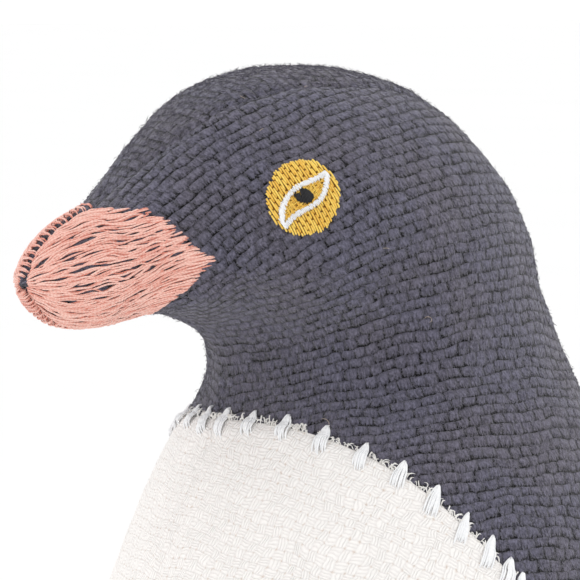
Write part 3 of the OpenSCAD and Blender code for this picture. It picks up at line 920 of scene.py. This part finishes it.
# The layers of beak stitches: shift of the lanes in degrees, half width, tones, first start, length
# and pause along a lane in mm, share of the gaps' push, waviness and height above the cloth
# The lowest layer's dark tones stand for painted shade beneath the cover
BEAK_LAYERS = (
    (1.2, 0.15, (0, 0.3), (-6, 0), (5, 9), (0.3, 0.3), 1, 0.1, 0.2),
    (0, 0.18, (0.4, 1), (-6, 0), (5, 9), (-0.6, -0.6), 1, 0.08, 0.36),
    (0.7, 0.165, (0.65, 1), (0, 6), (3, 7), (0.5, 9), 0.6, 0.17, 0.52),
)
BEAK_LANES = np.linspace(1, 177, 78)
GAP_COUNT = 230
# Ring, lane, length and push of the gaps between stitches
GAP_SPANS = ((18.6, 24.4), (4, 172), (0.7, 1.6), (0.2, 0.36))


def lane_places(n, lane):
    """Rings and angles along one lane, between the leaf's edge, the seam and the beak's tip."""
    k = np.linspace(BEAK_FRONT, LEAF_POINT - 0.2, 560)
    inset = (0.0, 0.4, 0.8)[n % 3] + rng.uniform(0, 0.12)
    a = lane_angle(lane, k)
    margin = np.interp(a, (0, 70, 120, 150, 180), (0.25, 0.3, 0.9, 1.35, 1.35))
    inside = (k >= beak_rear(a) + rng.uniform(-0.16, 0.1)) & (k <= BEAK_FRONT - inset)
    inside &= (on_skin(k, a)[:, 0] > margin + rng.uniform(-0.1, 0.1)) & (a > 0) & (a < 180)
    return k[inside], a[inside]


def stitches_along(total, first, span, pause):
    """Both ends of each stitch of a lane with the given length."""
    position = rng.uniform(*first)
    while position < total - 0.6:
        length = rng.uniform(*span)
        low, high = max(position, 0), min(position + length, total)
        position += length + rng.uniform(*pause)
        if high - low >= 1.0:
            yield low, high


def beak_threads(steps=18):
    """Three layers of long wavy stitches: dark ones below, painted as the shade beneath the cover, then the
    cover, and a few laid over it.
    """
    gaps = np.stack([rng.uniform(*span, GAP_COUNT) for span in GAP_SPANS], -1)
    arch = np.sin(np.pi * np.linspace(0, 1, steps)) ** 0.35
    places, tones, widths = [], [], []
    for shift, width, tone, first, span, pause, push, wave, height in BEAK_LAYERS:
        for n, lane in enumerate(BEAK_LANES + shift):
            k, a = lane_places(n, lane)
            if len(k) < 12:
                continue
            run = arc(on_skin(k, a)[None], 1)[0]
            for low, high in stitches_along(run[-1], first, span, pause):
                t = np.linspace(low, high, steps)
                kt, at = np.interp(t, run, k), np.interp(t, run, a)
                size = np.maximum(ring(kt)[:, 4], 3)
                drift = gap_drift(kt, lane, size, gaps) * push
                drift += wave * np.sin(t * 1.1 + rng.uniform(0, 6))
                at = at + np.degrees((drift + rng.uniform(-0.08, 0.08)) / size)
                places.append((kt, at, -0.1 + height * arch + rng.uniform(-0.03, 0.05)))
                tones.append(rng.uniform(*tone))
                widths.append(width * rng.uniform(0.9, 1.1))
    return threads_on_cloth("beak_embroidery_left_threads", places, widths, 0.17, tone=tones)


def beak_seam_stitches():
    """Short stitches across the seam, open along the ridge and close together round the tip."""
    ridge = [(k, 180.0) for k in np.arange(SEAM_TOP, SEAM_TIP, 0.02)]
    under = [(k, 0.0) for k in np.arange(SEAM_TIP, SEAM_BELOW, -0.02)]
    track = np.array(ridge + under)
    run = arc(on_skin(*track.T)[None], 1)[0]
    tip_run = run[len(ridge) - 1]
    t = np.linspace(-1, 1, 11)
    places = []
    position = 0.2
    while position < run[-1]:
        near_tip = math.exp(-((position - tip_run - 3) / 4.5) ** 2)
        k, a = track[min(int(np.searchsorted(run, position)), len(track) - 1)]
        _, around = scale_at(min(k, SEAM_TIP - 0.5), a)
        for strand in (-0.5, 0.5):
            reach = rng.uniform(1.35, 1.75) + 0.5 * near_tip
            turn = reach * t / around * rng.uniform(0.9, 1.1)
            along = strand * 0.05 + rng.uniform(-0.03, 0.03) + 0.05 * t * rng.uniform(-1, 1)
            lift = 0.9 - 0.55 * np.abs(t) ** 2.5 - 0.35 * (np.abs(t) > 0.95) - 0.35 * np.exp(-(t * 2.2) ** 2)
            places.append((np.clip(k + along, 17, LAST - 0.03), a + turn, lift))
        position += 1.3 - 0.8 * near_tip + rng.uniform(-0.15, 0.15)
    return threads_on_cloth("beak_seam_threads", places, 0.17, 0.15, on=skin, taper=0.5)


sew(beak_threads(), "salmon_thread", "beak_embroidery_left")
sew(beak_seam_stitches(), "salmon_thread", "beak_seam_stitches")

# --- Eyes ---

EYE_Y, EYE_Z = -31, 228.2
EYE_W, EYE_H = 10.6, 12.6
EYE_LEAN = 0.2
FILL_SLOPE = -61
LID_SLOPE = -50
IRIS_SLOPE = 50
# Rows are tried this far from the eye's middle, and no stitch is cut shorter than this
EYE_REACH = 7.5
SHORTEST = 0.45

# Each lid's middle line from the front corner to the rear one, in mm back and up from the middle
UPPER_LID = [
    [-2.9, -4.7], [-3.2, -3.3], [-3.1, -1.8], [-2.6, -0.35], [-1.7, 1.0],
    [-0.5, 1.9], [0.9, 2.5], [2.2, 3.1], [3.3, 3.9],
]
LOWER_LID = [
    [-2.6, -4.9], [-1.9, -3.6], [-0.9, -2.7], [0.3, -2.0], [1.5, -1.25],
    [2.4, -0.35], [3.0, 1.0], [3.3, 2.3], [3.5, 3.7],
]
PUPIL = (-0.15, 0.15)
PUPIL_D = 2.6


def eye_place(p, q):
    """Ring and angle at offset p back and q up from the eye's middle, in mm."""
    return seen_from_side(EYE_Y + p + EYE_LEAN * q, EYE_Z + q)


def lid_curve(points, count):
    """Evenly spaced places along a lid."""
    points = np.array(points)
    run = arc(points[None], 1)[0]
    t = np.linspace(0, run[-1], count)
    smooth = np.stack([np.interp(t, run, points[:, n]) for n in (0, 1)], -1)
    for _ in range(12):
        smooth[1:-1] = (smooth[:-2] + 2 * smooth[1:-1] + smooth[2:]) / 4
    return smooth


def between_lids(p, q, margin=0.0):
    """Whether a place lies inside the almond between the two lids."""
    outline = np.concatenate([lid_curve(UPPER_LID, 40), lid_curve(LOWER_LID, 40)[::-1]])
    following = np.roll(outline, -1, 0)
    crosses = (outline[:, 1] > q) != (following[:, 1] > q)
    width, step = (following - outline).T
    at = outline[:, 0] + (q - outline[:, 1]) / np.where(step == 0, 1e-9, step) * width
    distance = np.hypot(outline[:, 0] - p, outline[:, 1] - q).min()
    return (crosses & (p < at)).sum() % 2 == 1 and distance > margin


def straight_stitches(name, ends, lift, width, height, tone=None, steps=9, dip=0.22, taper=0.5):
    """Short threads between pairs of points near the eye, each dipping into the cloth at its ends."""
    share = np.linspace(0, 1, steps)
    rise = lift - dip + dip * np.sin(np.pi * share) ** 0.4
    places = [
        (*eye_place(p0 + (p1 - p0) * share, q0 + (q1 - q0) * share), rise) for (p0, q0), (p1, q1) in ends
    ]
    return threads_on_cloth(name, places, width, height, tone=tone, taper=taper, ends=1)


def rows_of_stitches(slope, pitch, length, contains, stagger, ragged=0.0):
    """Stitches in parallel rows at the given slope, cut where contains(p, q) stops being true."""
    direction = np.array([math.cos(math.radians(slope)), math.sin(math.radians(slope))])
    across = np.array([-direction[1], direction[0]])
    ends = []
    for n, row in enumerate(np.arange(-EYE_REACH, EYE_REACH, pitch)):
        row += rng.uniform(-0.04, 0.04)
        tries = np.arange(-EYE_REACH - 0.5, EYE_REACH + 0.5, 0.06)
        inside = [t for t in tries if contains(*(t * direction + row * across))]
        if len(inside) < 6:
            continue
        low = inside[0] - ragged * rng.uniform(-0.4, 1)
        high = inside[-1] + ragged * rng.uniform(-0.4, 1)
        cuts = [low]
        position = -EYE_REACH - 1.5 + (n * stagger % 1) * length + rng.uniform(-0.15, 0.15)
        while position < high - SHORTEST:
            if position > low + SHORTEST:
                cuts.append(position)
            position += length
        cuts.append(high)
        for start, end in zip(cuts[:-1], cuts[1:]):
            lean = rng.uniform(-0.07, 0.07)
            ends.append(((start + 0.06) * direction + row * across,
                         (end - 0.06) * direction + (row + lean) * across))
    return ends


def in_disc(p, q):
    """Whether a place lies inside the yellow disc."""
    return (p * 2 / EYE_W) ** 2 + (q * 2 / EYE_H) ** 2 < 1


def eye_fill():
    """The yellow disc: long stitches in slanting rows."""
    ends = rows_of_stitches(FILL_SLOPE, 0.34, 2.9, in_disc, 0.37, ragged=0.45)
    tones = rng.uniform(0.2, 1, len(ends))
    return straight_stitches("eye_left_yellow_threads", ends, 0.42, 0.175, 0.15, tones,
                             steps=14, dip=0.42, taper=0.3)


def eye_iris():
    """Finer stitches the other way, over the fill between the lids."""
    ends = rows_of_stitches(IRIS_SLOPE, 0.26, 1.3, lambda p, q: between_lids(p, q, 0.3), 0.5)
    tones = rng.uniform(0, 0.8, len(ends))
    return straight_stitches("eye_left_iris_threads", ends, 0.58, 0.105, 0.1, tones, dip=0.25)


def eye_outline():
    """Satin stitch: close short threads, all at one slope, laid over both lids."""
    slope = math.radians(LID_SLOPE)
    stroke = np.array([math.cos(slope), math.sin(slope)])
    ends = []
    for lid, count in ((UPPER_LID, 58), (LOWER_LID, 52)):
        line = lid_curve(lid, count)
        tangent = unit_vector(np.gradient(line, axis=0))
        for place, along in zip(line, tangent):
            turn = abs(stroke[0] * along[1] - stroke[1] * along[0])
            half = min(0.7, 0.42 / max(turn, 0.3)) * rng.uniform(0.82, 1.2)
            lean = stroke + 0.12 * rng.normal(size=2)
            ends.append((place - half * lean, place + half * lean))
    tones = rng.uniform(0.2, 1, len(ends))
    return straight_stitches("eye_left_white_threads", ends, 0.8, 0.11, 0.14, tones, dip=0.35)


def eye_pupil():
    """Rows of upright stitches, with a notch near the front of its upper edge."""
    ends = []
    p, q = PUPIL
    for row in np.arange(-1.3, 1.31, 0.2):
        half = math.sqrt(max(0.05, (PUPIL_D / 2) ** 2 - row ** 2)) + rng.uniform(-0.05, 0.12)
        lean = 0.25 * half
        top = q + half - (0.7 if -1.0 < row < -0.5 else 0)
        ends.append(((p + row + lean, q - half), (p + row - lean * 0.6, top)))
    return straight_stitches("eye_left_black_threads", ends, 0.74, 0.15, 0.15, dip=0.25)


def eye_ground():
    """A thin mat under the stitches, coloured as painted shade, which shows dark where two of them meet."""
    u = np.linspace(-1, 1, 28)
    p = u[None, :] * np.sqrt(1 - u[:, None] ** 2 / 2) * (EYE_W / 2 - 0.3)
    q = u[:, None] * np.sqrt(1 - u[None, :] ** 2 / 2) * (EYE_H / 2 - 0.3)
    k, a = eye_place(p, q)
    return grid_object("eye_left_ground", surface(k, a, 0.14), np.stack([p, q], -1))


sew(eye_ground(), "eye_ground")
sew(eye_fill(), "yellow_thread", "eye_disc_left")
sew(eye_iris(), "yellow_thread")
sew(eye_outline(), "white_thread", "eye_outline_left")
sew(eye_pupil(), "black_thread", "eye_pupil_left")

# --- Loose fibres on the dark cloth ---

def scatter(k, a, count):
    """Random places (ring, angle) spread evenly over a panel given by grids k and a."""
    base = on_skin(k, a)
    wide = np.linalg.norm(base[1:, 1:] - base[1:, :-1], axis=-1)
    tall = np.linalg.norm(base[1:, 1:] - base[:-1, 1:], axis=-1)
    share = (wide * tall).ravel()
    cell = rng.choice(share.size, count, p=share / share.sum())
    row, col = np.unravel_index(cell, wide.shape)
    i, j = rng.uniform(0, 1, (2, count))
    ks = k[row, col] + (k[row + 1, col] - k[row, col]) * i
    return ks, a[row, col] + (a[row, col + 1] - a[row, col]) * j


def fibres(name, k, a, count, longest, stand_off, thick, steps=4):
    """Short curled hairs that stand off the cloth, as on any brushed or handled cotton."""
    ks, places = scatter(k, a, count)
    t = np.linspace(0, 1, steps)[None, :]
    length = rng.uniform(0.3, longest, (count, 1))
    heading = rng.uniform(0, 2 * np.pi, (count, 1)) + rng.uniform(-1.5, 1.5, (count, 1)) * t
    along, around = scale_at(ks[:, None], places[:, None])
    kk = ks[:, None] + length * t * np.cos(heading) / along
    aa = places[:, None] + length * t * np.sin(heading) / around
    stand = rng.uniform(0.08, stand_off, (count, 1)) * t ** rng.uniform(0.5, 1.2, (count, 1))
    kk = np.clip(kk, 0.05, LAST - 0.05)
    sizes = rng.uniform(*thick, count)
    return tubes(name, surface(kk, aa, stand), outward(kk, aa), sizes, sizes, sides=3, taper=0.5, ends=1)


# Stray threads caught on the cloth: [ring, angle, length, curl, heading]
STRAYS = [
    [17.8, 148, 1.3, 1.0, 20], [17.0, 147, 1.0, 2.0, 80], [17.6, 123, 0.8, 0.5, 140],
    [14.5, 80, 1.2, 1.2, 100], [12.3, 76.5, 2.6, 4.4, 10], [10.09, 39, 4.2, 4.0, 60],
]


def lint(steps=16):
    """A few stray threads on the left side of the head and neck."""
    places = []
    t = np.linspace(0, 1, steps)
    for k, a, length, curl, heading in STRAYS:
        along, around = scale_at(k, a)
        direction = math.radians(heading) + curl * t
        out, side = (np.cumsum(part) * length / steps for part in (np.cos(direction), np.sin(direction)))
        places.append((k + out / along, a + side / around, 0.25 + 0.15 * np.sin(np.pi * t)))
    return threads_on_cloth("side_panel_left_lint", places, 0.05, 0.05, sides=5)


# Long thin hairs and a short thick nap: name, longest, furthest off the cloth, thickness, material
HAIRS = (
    ("fibres", 1.2, 0.6, (0.02, 0.034), "slate_fibre"),
    ("nap", 1.0, 0.16, (0.045, 0.08), "slate_nap"),
)
panel_k, panel_a = side_panel_places()
visible = panel_k[:, 0] > 0.2
gusset_grid = gusset_places(np.linspace(GUSSET[0, 0], GUSSET[-1, 0], 200), 30)
for panel, grid, counts in (
    ("side_panel_left", (panel_k[visible], panel_a[visible]), (10800, 10500)),
    ("head_gusset", gusset_grid, (3600, 3000)),
):
    for (kind, longest, stand_off, thick, material), count in zip(HAIRS, counts):
        sew(fibres(f"{panel}_{kind}", *grid, count, longest, stand_off, thick), material)
dress(lint(), "lint", "torso")

# --- Base and the stitches on the body ---

BASE_R = 40
HINGES = {
    joint["name"]: np.array(joint["pos_m"]) / (MM * UNIT) for joint in frame["record"]["behaviour"]["joints"]
}


def base_cloth(rings=40, spokes=120):
    """The round underside, a flat disc whose rim turns up into its seam."""
    share = np.linspace(0.004, 1, rings)[:, None]
    turn = np.linspace(0, 2 * np.pi, spokes + 1)
    radius = share * BASE_R * UNIT + 0 * turn
    flat = np.stack([radius * np.cos(turn), radius * np.sin(turn), 0 * radius], -1)
    uneven = 0.05 * (1 + np.clip(lumps(flat, 18, 12), -1, 1))
    rise = 0.15 + 0.9 * np.clip((share - 0.95) / 0.05, 0, 1) ** 2 + uneven
    points = np.stack([flat[..., 0], -flat[..., 1], rise], -1)
    return grid_object("base_panel_cloth", points, points[..., :2])


def ladder(name, ends, thick, steps=10):
    """Pairs of strands on the skin, each pair between two places (ring, angle)."""
    t = np.linspace(0, 1, steps)
    lift = -0.1 + 0.75 * np.sin(np.pi * t) ** 0.5
    places = [
        (k0 + (k1 - k0) * t, a0 + (a1 - a0) * t + aside, lift)
        for (k0, a0), (k1, a1) in ends for aside in (-0.5, 0.5)
    ]
    return threads_on_cloth(name, places, thick, thick)


def closing_places():
    """The stitches across the back seam, low on the body, from 46 to 95 mm up."""
    rings = [float(ring_at_height(z)) for z in np.arange(46, 95, 3.5)]
    return [((k - 0.02, 178.2), (k + 0.02, 181.8)) for k in rings]


def wing_stitch_places():
    """Slanting stitches in a row just above the shoulder."""
    k = float(ring_at_height(HINGES["wing_left_flap"][2] + 8.5))
    return [((k - 0.09, a - 0.4), (k + 0.09, a + 0.4)) for a in np.arange(96, 129, 4.0)]


sew(base_cloth(), "slate_cloth", "base_panel", fill=PANEL_FILL)
sew(ladder("closing_stitches_threads", closing_places(), 0.26), "slate_thread", "closing_stitches")
sew(ladder("wing_stitches_left_threads", wing_stitch_places(), 0.3), "slate_thread", "wing_stitches_left")

# --- Wings, feet and tail: flat cushions sewn round their edge ---

def half_width(size, t):
    """Half the width of a limb at t from 0 at its root to 1 at its tip."""
    w = (size[1] + (size[2] - size[1]) * t + size[3] * np.sin(np.pi * t)) / 2
    return np.maximum(0.6, w * np.sqrt(np.clip(1 - t ** 5, 0, 1)))


def limb_grid(size, rows, cols):
    """Places in the plane of a limb, its root at y = 0, and how near each is to the rim."""
    t = np.sin(np.linspace(0, np.pi / 2, rows))[:, None]
    c = np.sin(np.linspace(-np.pi / 2, np.pi / 2, cols))[None, :]
    half = half_width(size, t)
    x, y = half * c, -size[0] * t + 0 * c
    to_rim = np.minimum(half * (1 - np.abs(c)), size[0] * (1 - t) + 0.3 * half * (1 - np.abs(c)))
    return x, y, np.maximum(to_rim, 0)


CASE_CLOTH = {
    "use_pressure": True, "uniform_pressure_force": 4, "mass": 0.05, "tension_stiffness": 30,
    "compression_stiffness": 30, "bending_stiffness": 0.2, "shrink_min": -0.02, "vertex_group_mass": "root",
}
SETTLE_FRAMES = 20
# How far the simulation may move a point, so that the limb stays in the space of its CAD solid
MOST_MOVE = 1.5


def settle(name, top, bottom):
    """Lets a limb's case fill out under pressure as real cloth does, and gives its new faces."""
    rows, cols = top.shape[:2]
    index = np.arange(rows * cols).reshape(rows, cols)
    below = index + rows * cols
    for rim in (np.s_[0], np.s_[-1], np.s_[:, 0], np.s_[:, -1]):
        below[rim] = index[rim]
    quads = np.concatenate([grid_quads(rows, cols)[:, ::-1], below.ravel()[grid_quads(rows, cols)]])
    quads = np.array([q for q in quads if len(set(q)) == 4])
    case = mesh_object(name + "_case", np.concatenate([top.reshape(-1, 3), bottom.reshape(-1, 3)]), quads)
    used = np.zeros(len(case.data.vertices), bool)
    used[quads.ravel()] = True
    pins = case.vertex_groups.new(name="root")
    pins.add([int(i) for i in np.concatenate([index[0], np.nonzero(~used)[0]])], 1.0, "REPLACE")
    cloth = case.modifiers.new("cloth", "CLOTH")
    for key, value in CASE_CLOTH.items():
        setattr(cloth.settings, key, value)
    cloth.settings.effector_weights.gravity = 0
    cloth.point_cache.frame_start, cloth.point_cache.frame_end = 1, SETTLE_FRAMES
    scene = bpy.context.scene
    for step in range(1, SETTLE_FRAMES + 1):
        scene.frame_set(step)
    settled = case.evaluated_get(bpy.context.evaluated_depsgraph_get()).data
    points = np.zeros(len(settled.vertices) * 3)
    settled.vertices.foreach_get("co", points)
    points = points.reshape(-1, 3) / MM
    scene.frame_set(1)
    bpy.data.objects.remove(case)

    def eased(face, moved):
        length = np.linalg.norm(moved, axis=-1, keepdims=True)
        return face + moved * np.minimum(1, MOST_MOVE / np.maximum(length, 1e-9))
    return eased(top, points[index] - top), eased(bottom, points[below] - bottom)


def finer(grid, factor):
    """The same grid of values with factor times as many steps each way."""
    for axis in (0, 1):
        count = grid.shape[axis]
        at = np.linspace(0, count - 1, (count - 1) * factor + 1)
        low = np.minimum(at.astype(int), count - 2)
        share = at - low
        around = [np.take(grid, np.clip(low + n, 0, count - 1), axis) for n in (-1, 0, 1, 2)]
        share = share.reshape([-1 if n == axis else 1 for n in range(grid.ndim)])
        grid = between(*around, share)
    return grid


# How far a face stands off at the rim, stays inside its CAD solid, and how soon it swells
RIM_RISE, FACE_GAP = 0.28, 0.65
SWELL_RUN = 3.2
# The stitched channel runs this far inside the rim
STITCH_INSET = 2.4
RUNNING_PITCH, RUNNING_LENGTH = 2.6, 1.8
FINER = 4
CASE_GAP = 0.12
LIMB_FILL = 0.45
# The padding's size as a share of its case's, and how far it is shifted towards the tip
PADDING_SHARE = [0.76, 0.86, 0.5]
PADDING_SHIFT = 0.06


def face_rise(to_rim, thickness):
    """How far a limb's face stands off its middle plane, at a distance from the rim."""
    return RIM_RISE + (thickness / 2 - FACE_GAP) * (1 - np.exp(-to_rim / SWELL_RUN))


def limb(name, size, thickness, nodes, materials, thread, place, seed):
    """One padded limb: two faces with a seam and puckers near the rim, padding and topstitching."""
    x, y, to_rim = limb_grid(size, 34, 21)
    rise = face_rise(to_rim, thickness)
    middle = thickness / 2
    rise[0] = RIM_RISE
    rise[to_rim < 1e-6] = 0
    top, bottom = (np.stack([x, y, middle + side * rise], -1) for side in (1, -1))
    top, bottom = settle(name, top, bottom)
    flat = finer(np.stack([x, y], -1), FINER)
    near = np.maximum(finer(to_rim[..., None], FINER)[..., 0], 0)
    seam = np.minimum(0.55 * np.exp(-((near - STITCH_INSET) / 0.7) ** 2), 0.4 * thickness)
    plan = np.concatenate([flat, 0 * near[..., None]], -1)
    pucker = 0.16 * np.exp(-((near - 1.6) / 2.2) ** 2) * lumps(plan, 3.5, seed)
    quads = grid_quads(*near.shape)
    shells = []
    nodes = [f"{name}_{node}" for node in nodes]
    for grid, side, part, material, node in zip((top, bottom), (1, -1), ("top", "under"), materials, nodes):
        grid = finer(grid, FINER)
        wave = 0.22 * lumps(grid, 14, seed + side) * np.clip(near / 4, 0, 1)
        offset = side * (-seam + pucker + wave) * np.clip(near / 0.8, 0, 1)
        z = np.clip(grid[..., 2] + offset, CASE_GAP, thickness - CASE_GAP)
        grid[..., 2] = np.maximum(z, middle) if side > 0 else np.minimum(z, middle)
        face = mesh_object(f"{name}_{part}_cloth", place(grid.reshape(-1, 3)), quads[:, ::-side],
                           uv=flat.reshape(-1, 2))
        sew(face, material, node, body=name, fill=LIMB_FILL)
        shells.append(grid.reshape(-1, 3) - [0, 0, middle])
    inside = np.concatenate(shells) * PADDING_SHARE + [0, -PADDING_SHIFT * size[0], middle]
    both = np.concatenate([quads[:, ::-1], quads + near.size])
    padding = mesh_object(f"{name}_padding_fill", place(inside), both)
    sew(padding, "stuffing", nodes[2], body=name, fill=LIMB_FILL)
    sew(topstitching(f"{name}_topstitching", size, thickness, place), thread, body=name)


def topstitching(name, size, thickness, place):
    """A running stitch all round the limb's upper face, a little inside its rim."""
    t = np.sin(np.linspace(0, np.pi / 2, 200))
    half = np.maximum(half_width(size, t) - STITCH_INSET, 0)
    y = -np.minimum(size[0] * t, size[0] - STITCH_INSET)
    track = np.concatenate([np.stack([-half, y], -1), np.stack([half, y], -1)[::-1]])
    run = arc(track[None], 1)[0]
    height = thickness / 2 + face_rise(STITCH_INSET, thickness) - 0.1
    arch = np.sin(np.pi * np.linspace(0, 1, 7)) ** 0.6
    paths, normals = [], []
    for start in np.arange(0.5, run[-1] - 2, RUNNING_PITCH):
        at = np.linspace(start, start + RUNNING_LENGTH, 7)
        x, y = (np.interp(at, run, track[:, n]) for n in (0, 1))
        path = np.stack([x, y, height - 0.25 + 0.35 * arch], -1)
        placed = place(path)
        paths.append(placed)
        normals.append(place(path + [0, 0, 1]) - placed)
    return tubes(name, paths, normals, 0.17, 0.15)


def limb_place(*turns, offset=(0, 0, 0)):
    """A function that turns points about X, Y or Z in order and then moves them."""
    matrix = Matrix.Identity(3)
    for degrees, axis in turns:
        matrix = Matrix.Rotation(math.radians(degrees), 3, axis) @ matrix
    matrix = np.array(matrix)

    def place(points):
        return UNIT * (points @ matrix.T + np.array(offset))
    return place


WING_W, FOOT_W, TAIL_W = 33, 31, 34
# Length, width at the root, width at the tip, and how much wider the middle is
WING_SIZE = [82, WING_W * 0.72, WING_W * 0.5, WING_W * 0.42]
FOOT_SIZE = [34, FOOT_W * 0.62, FOOT_W * 0.9, FOOT_W * 0.25]
TAIL_SIZE = [34, TAIL_W, TAIL_W * 0.45, 0]
WING_T, FOOT_T, TAIL_T = 6.4, 6.0, 5.6
FOOT_SPLAY = 25
TAIL_LIFT = 30

wing_place = limb_place((90, "X"), (90, "Z"), (-10, "Y"), offset=HINGES["wing_left_flap"])
foot_place = limb_place((FOOT_SPLAY, "Z"), offset=HINGES["foot_left_fold"] * [1, 1, 0])
tail_low = limb_place((TAIL_LIFT, "X"), (180, "Z"), offset=HINGES["tail_fold"])


def tail_place(points):
    """Places the tail so that it folds about the edge of its upper face."""
    return tail_low(points - [0, 0, TAIL_T])


# Size, thickness, what its faces and padding are called in CAD, cloths, thread, placing and seed
LIMBS = {
    "wing_left": (WING_SIZE, WING_T, ("outer", "lining", "padding"), ("slate_cloth", "cream_cloth"),
                  "slate_thread", wing_place, 21),
    "foot_left": (FOOT_SIZE, FOOT_T, ("upper", "sole", "padding"), ("salmon_cloth", "salmon_cloth"),
                  "salmon_thread", foot_place, 22),
    "tail": (TAIL_SIZE, TAIL_T, ("top", "underside", "padding"), ("slate_cloth", "slate_cloth"),
             "slate_thread", tail_place, 23),
}
for limb_name, limb_spec in LIMBS.items():
    limb(limb_name, *limb_spec)


def root_strip(name, on_body, on_limb, bulge, material, thickness=0.9, rows=12):
    """The cloth that joins a limb to the body."""
    share = np.linspace(0, 1, rows)[:, None, None]
    outer = on_body * (1 - share) + on_limb * share + np.sin(np.pi * share) * bulge
    points = np.concatenate([outer, (outer - thickness * unit_vector(bulge))[::-1]])
    strip = grid_object(name, points, np.stack([arc(points, 1), arc(points, 0)], -1))
    strip.data.materials.append(MATERIALS[material])
    middle = points.shape[1] // 2
    start, end = (Vector(points[row, middle]) * MM for row in (rows // 4, rows - 2))
    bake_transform(strip)
    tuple(start)
    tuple(end)


def skin_at(points, z):
    """Points of the body's surface at height z, nearest to the given places in plan."""
    a = np.linspace(-180, 180, 721)
    around = surface(float(ring_at_height(z)) + 0 * a, a, -0.3)
    return np.stack([around[np.argmin(np.hypot(*(around - p)[:, :2].T))] for p in points])


def root_strips():
    """One strip for each limb; the right ones mirror the left."""
    across = np.linspace(-1, 1, 15)
    for name, above_middle, z, bulge in (
        ("wing_left", 0, 157.0, (1.6, 0, 0.6)),
        ("foot_left", 0.6, 7.5, (0.3, -0.6, 1.2)),
        ("tail", 0, 29.0, (0, 0.6, 1.2)),
    ):
        size, thickness, _, materials, _, place, _ = LIMBS[name]
        half = half_width(size, np.array(0.0)) - 1.2
        height = thickness / 2 + above_middle
        edge = place(np.stack([across * half, 0 * across - 1.6, 0 * across + height], -1))
        for side in ("left", "right") if "left" in name else ("",):
            flip = np.array([-1.0 if side == "right" else 1.0, 1, 1])
            body = name.replace("left", side)
            root_strip(f"{body}_root_cloth", skin_at(edge, z) * flip, edge * flip, bulge * flip,
                       materials[0])


root_strips()


def inner_pieces():
    """Gives the CAD nodes that stay as they are, all inside the toy, their materials."""
    inner = {"head_stuffing": "stuffing", "body_stuffing": "stuffing", "pellet_bag": "backing",
             "pellet_fill": "pellets"}
    for part in ("beak_backing", "eye_backing"):
        for side in ("left", "right"):
            inner[f"{part}_{side}"] = "backing"
    for node, material in inner.items():
        mesh = frame["nodes"][node].data
        mesh.materials.clear()
        mesh.materials.append(MATERIALS[material])


inner_pieces()

# --- Studio: floor, light and camera ---

FLOOR_HALF = 20000.0
WORLD_STRENGTH = 1.05
# Two soft lamps that face the toy: place in metres, power and width
LAMPS = {"key": ((-0.5, -0.7, 1.2), 2.2, 0.8), "back": ((0.3, 1.0, 0.9), 2.2, 0.9)}
LAMP_AIM = Vector((0, 0, 0.18))


def place_in_scene(name, data, location, facing):
    """A lamp or camera that looks along the direction facing."""
    obj = bpy.data.objects.new(name, data)
    obj.location = location
    obj.rotation_euler = facing.to_track_quat("-Z", "Y").to_euler()
    bpy.context.scene.collection.objects.link(obj)
    return obj


def studio():
    """A wide pale floor in an evenly white world."""
    corners = FLOOR_HALF * np.array([[-1, -1, 0], [1, -1, 0], [-1, 1, 0], [1, 1, 0]])
    floor = mesh_object("studio_floor", corners, grid_quads(2, 2))
    floor.data.materials.append(floor_material())
    world = bpy.data.worlds.new("studio")
    bpy.context.scene.world = world
    world.use_nodes = True
    background = world.node_tree.nodes["Background"]
    background.inputs[0].default_value = (1, 1, 1, 1)
    background.inputs[1].default_value = WORLD_STRENGTH
    for name, (location, energy, width) in LAMPS.items():
        light = bpy.data.lights.new(name, "AREA")
        light.energy = energy
        light.size = width
        place_in_scene(name, light, location, LAMP_AIM - Vector(location))


# The photograph's view: degrees round from the front and above level, lens and picture width in mm,
# and the middle of the picture in mm to the right, up and towards the camera
AZIMUTH, ELEVATION = 57, 3
LENS = 400.0
PICTURE_WIDTH = 98.6
PICTURE_MIDDLE = (-15.3, 210.4, 38)


def camera():
    """The photograph's camera, far off behind a long lens."""
    azimuth, elevation = math.radians(AZIMUTH), math.radians(ELEVATION)
    back = Vector((math.sin(azimuth) * math.cos(elevation), -math.cos(azimuth) * math.cos(elevation),
                   math.sin(elevation)))
    right = Vector((math.cos(azimuth), math.sin(azimuth), 0))
    across, height, nearer = PICTURE_MIDDLE
    target = (across * right + height * back.cross(right) + nearer * back) * MM
    data = bpy.data.cameras.new("camera")
    data.lens = LENS
    data.clip_start = 0.05
    data.clip_end = 60
    distance = PICTURE_WIDTH * MM * LENS / data.sensor_width
    bpy.context.scene.camera = place_in_scene("camera", data, target + back * distance, -back)


studio()
camera()
bpy.context.scene.view_settings.view_transform = "Standard"
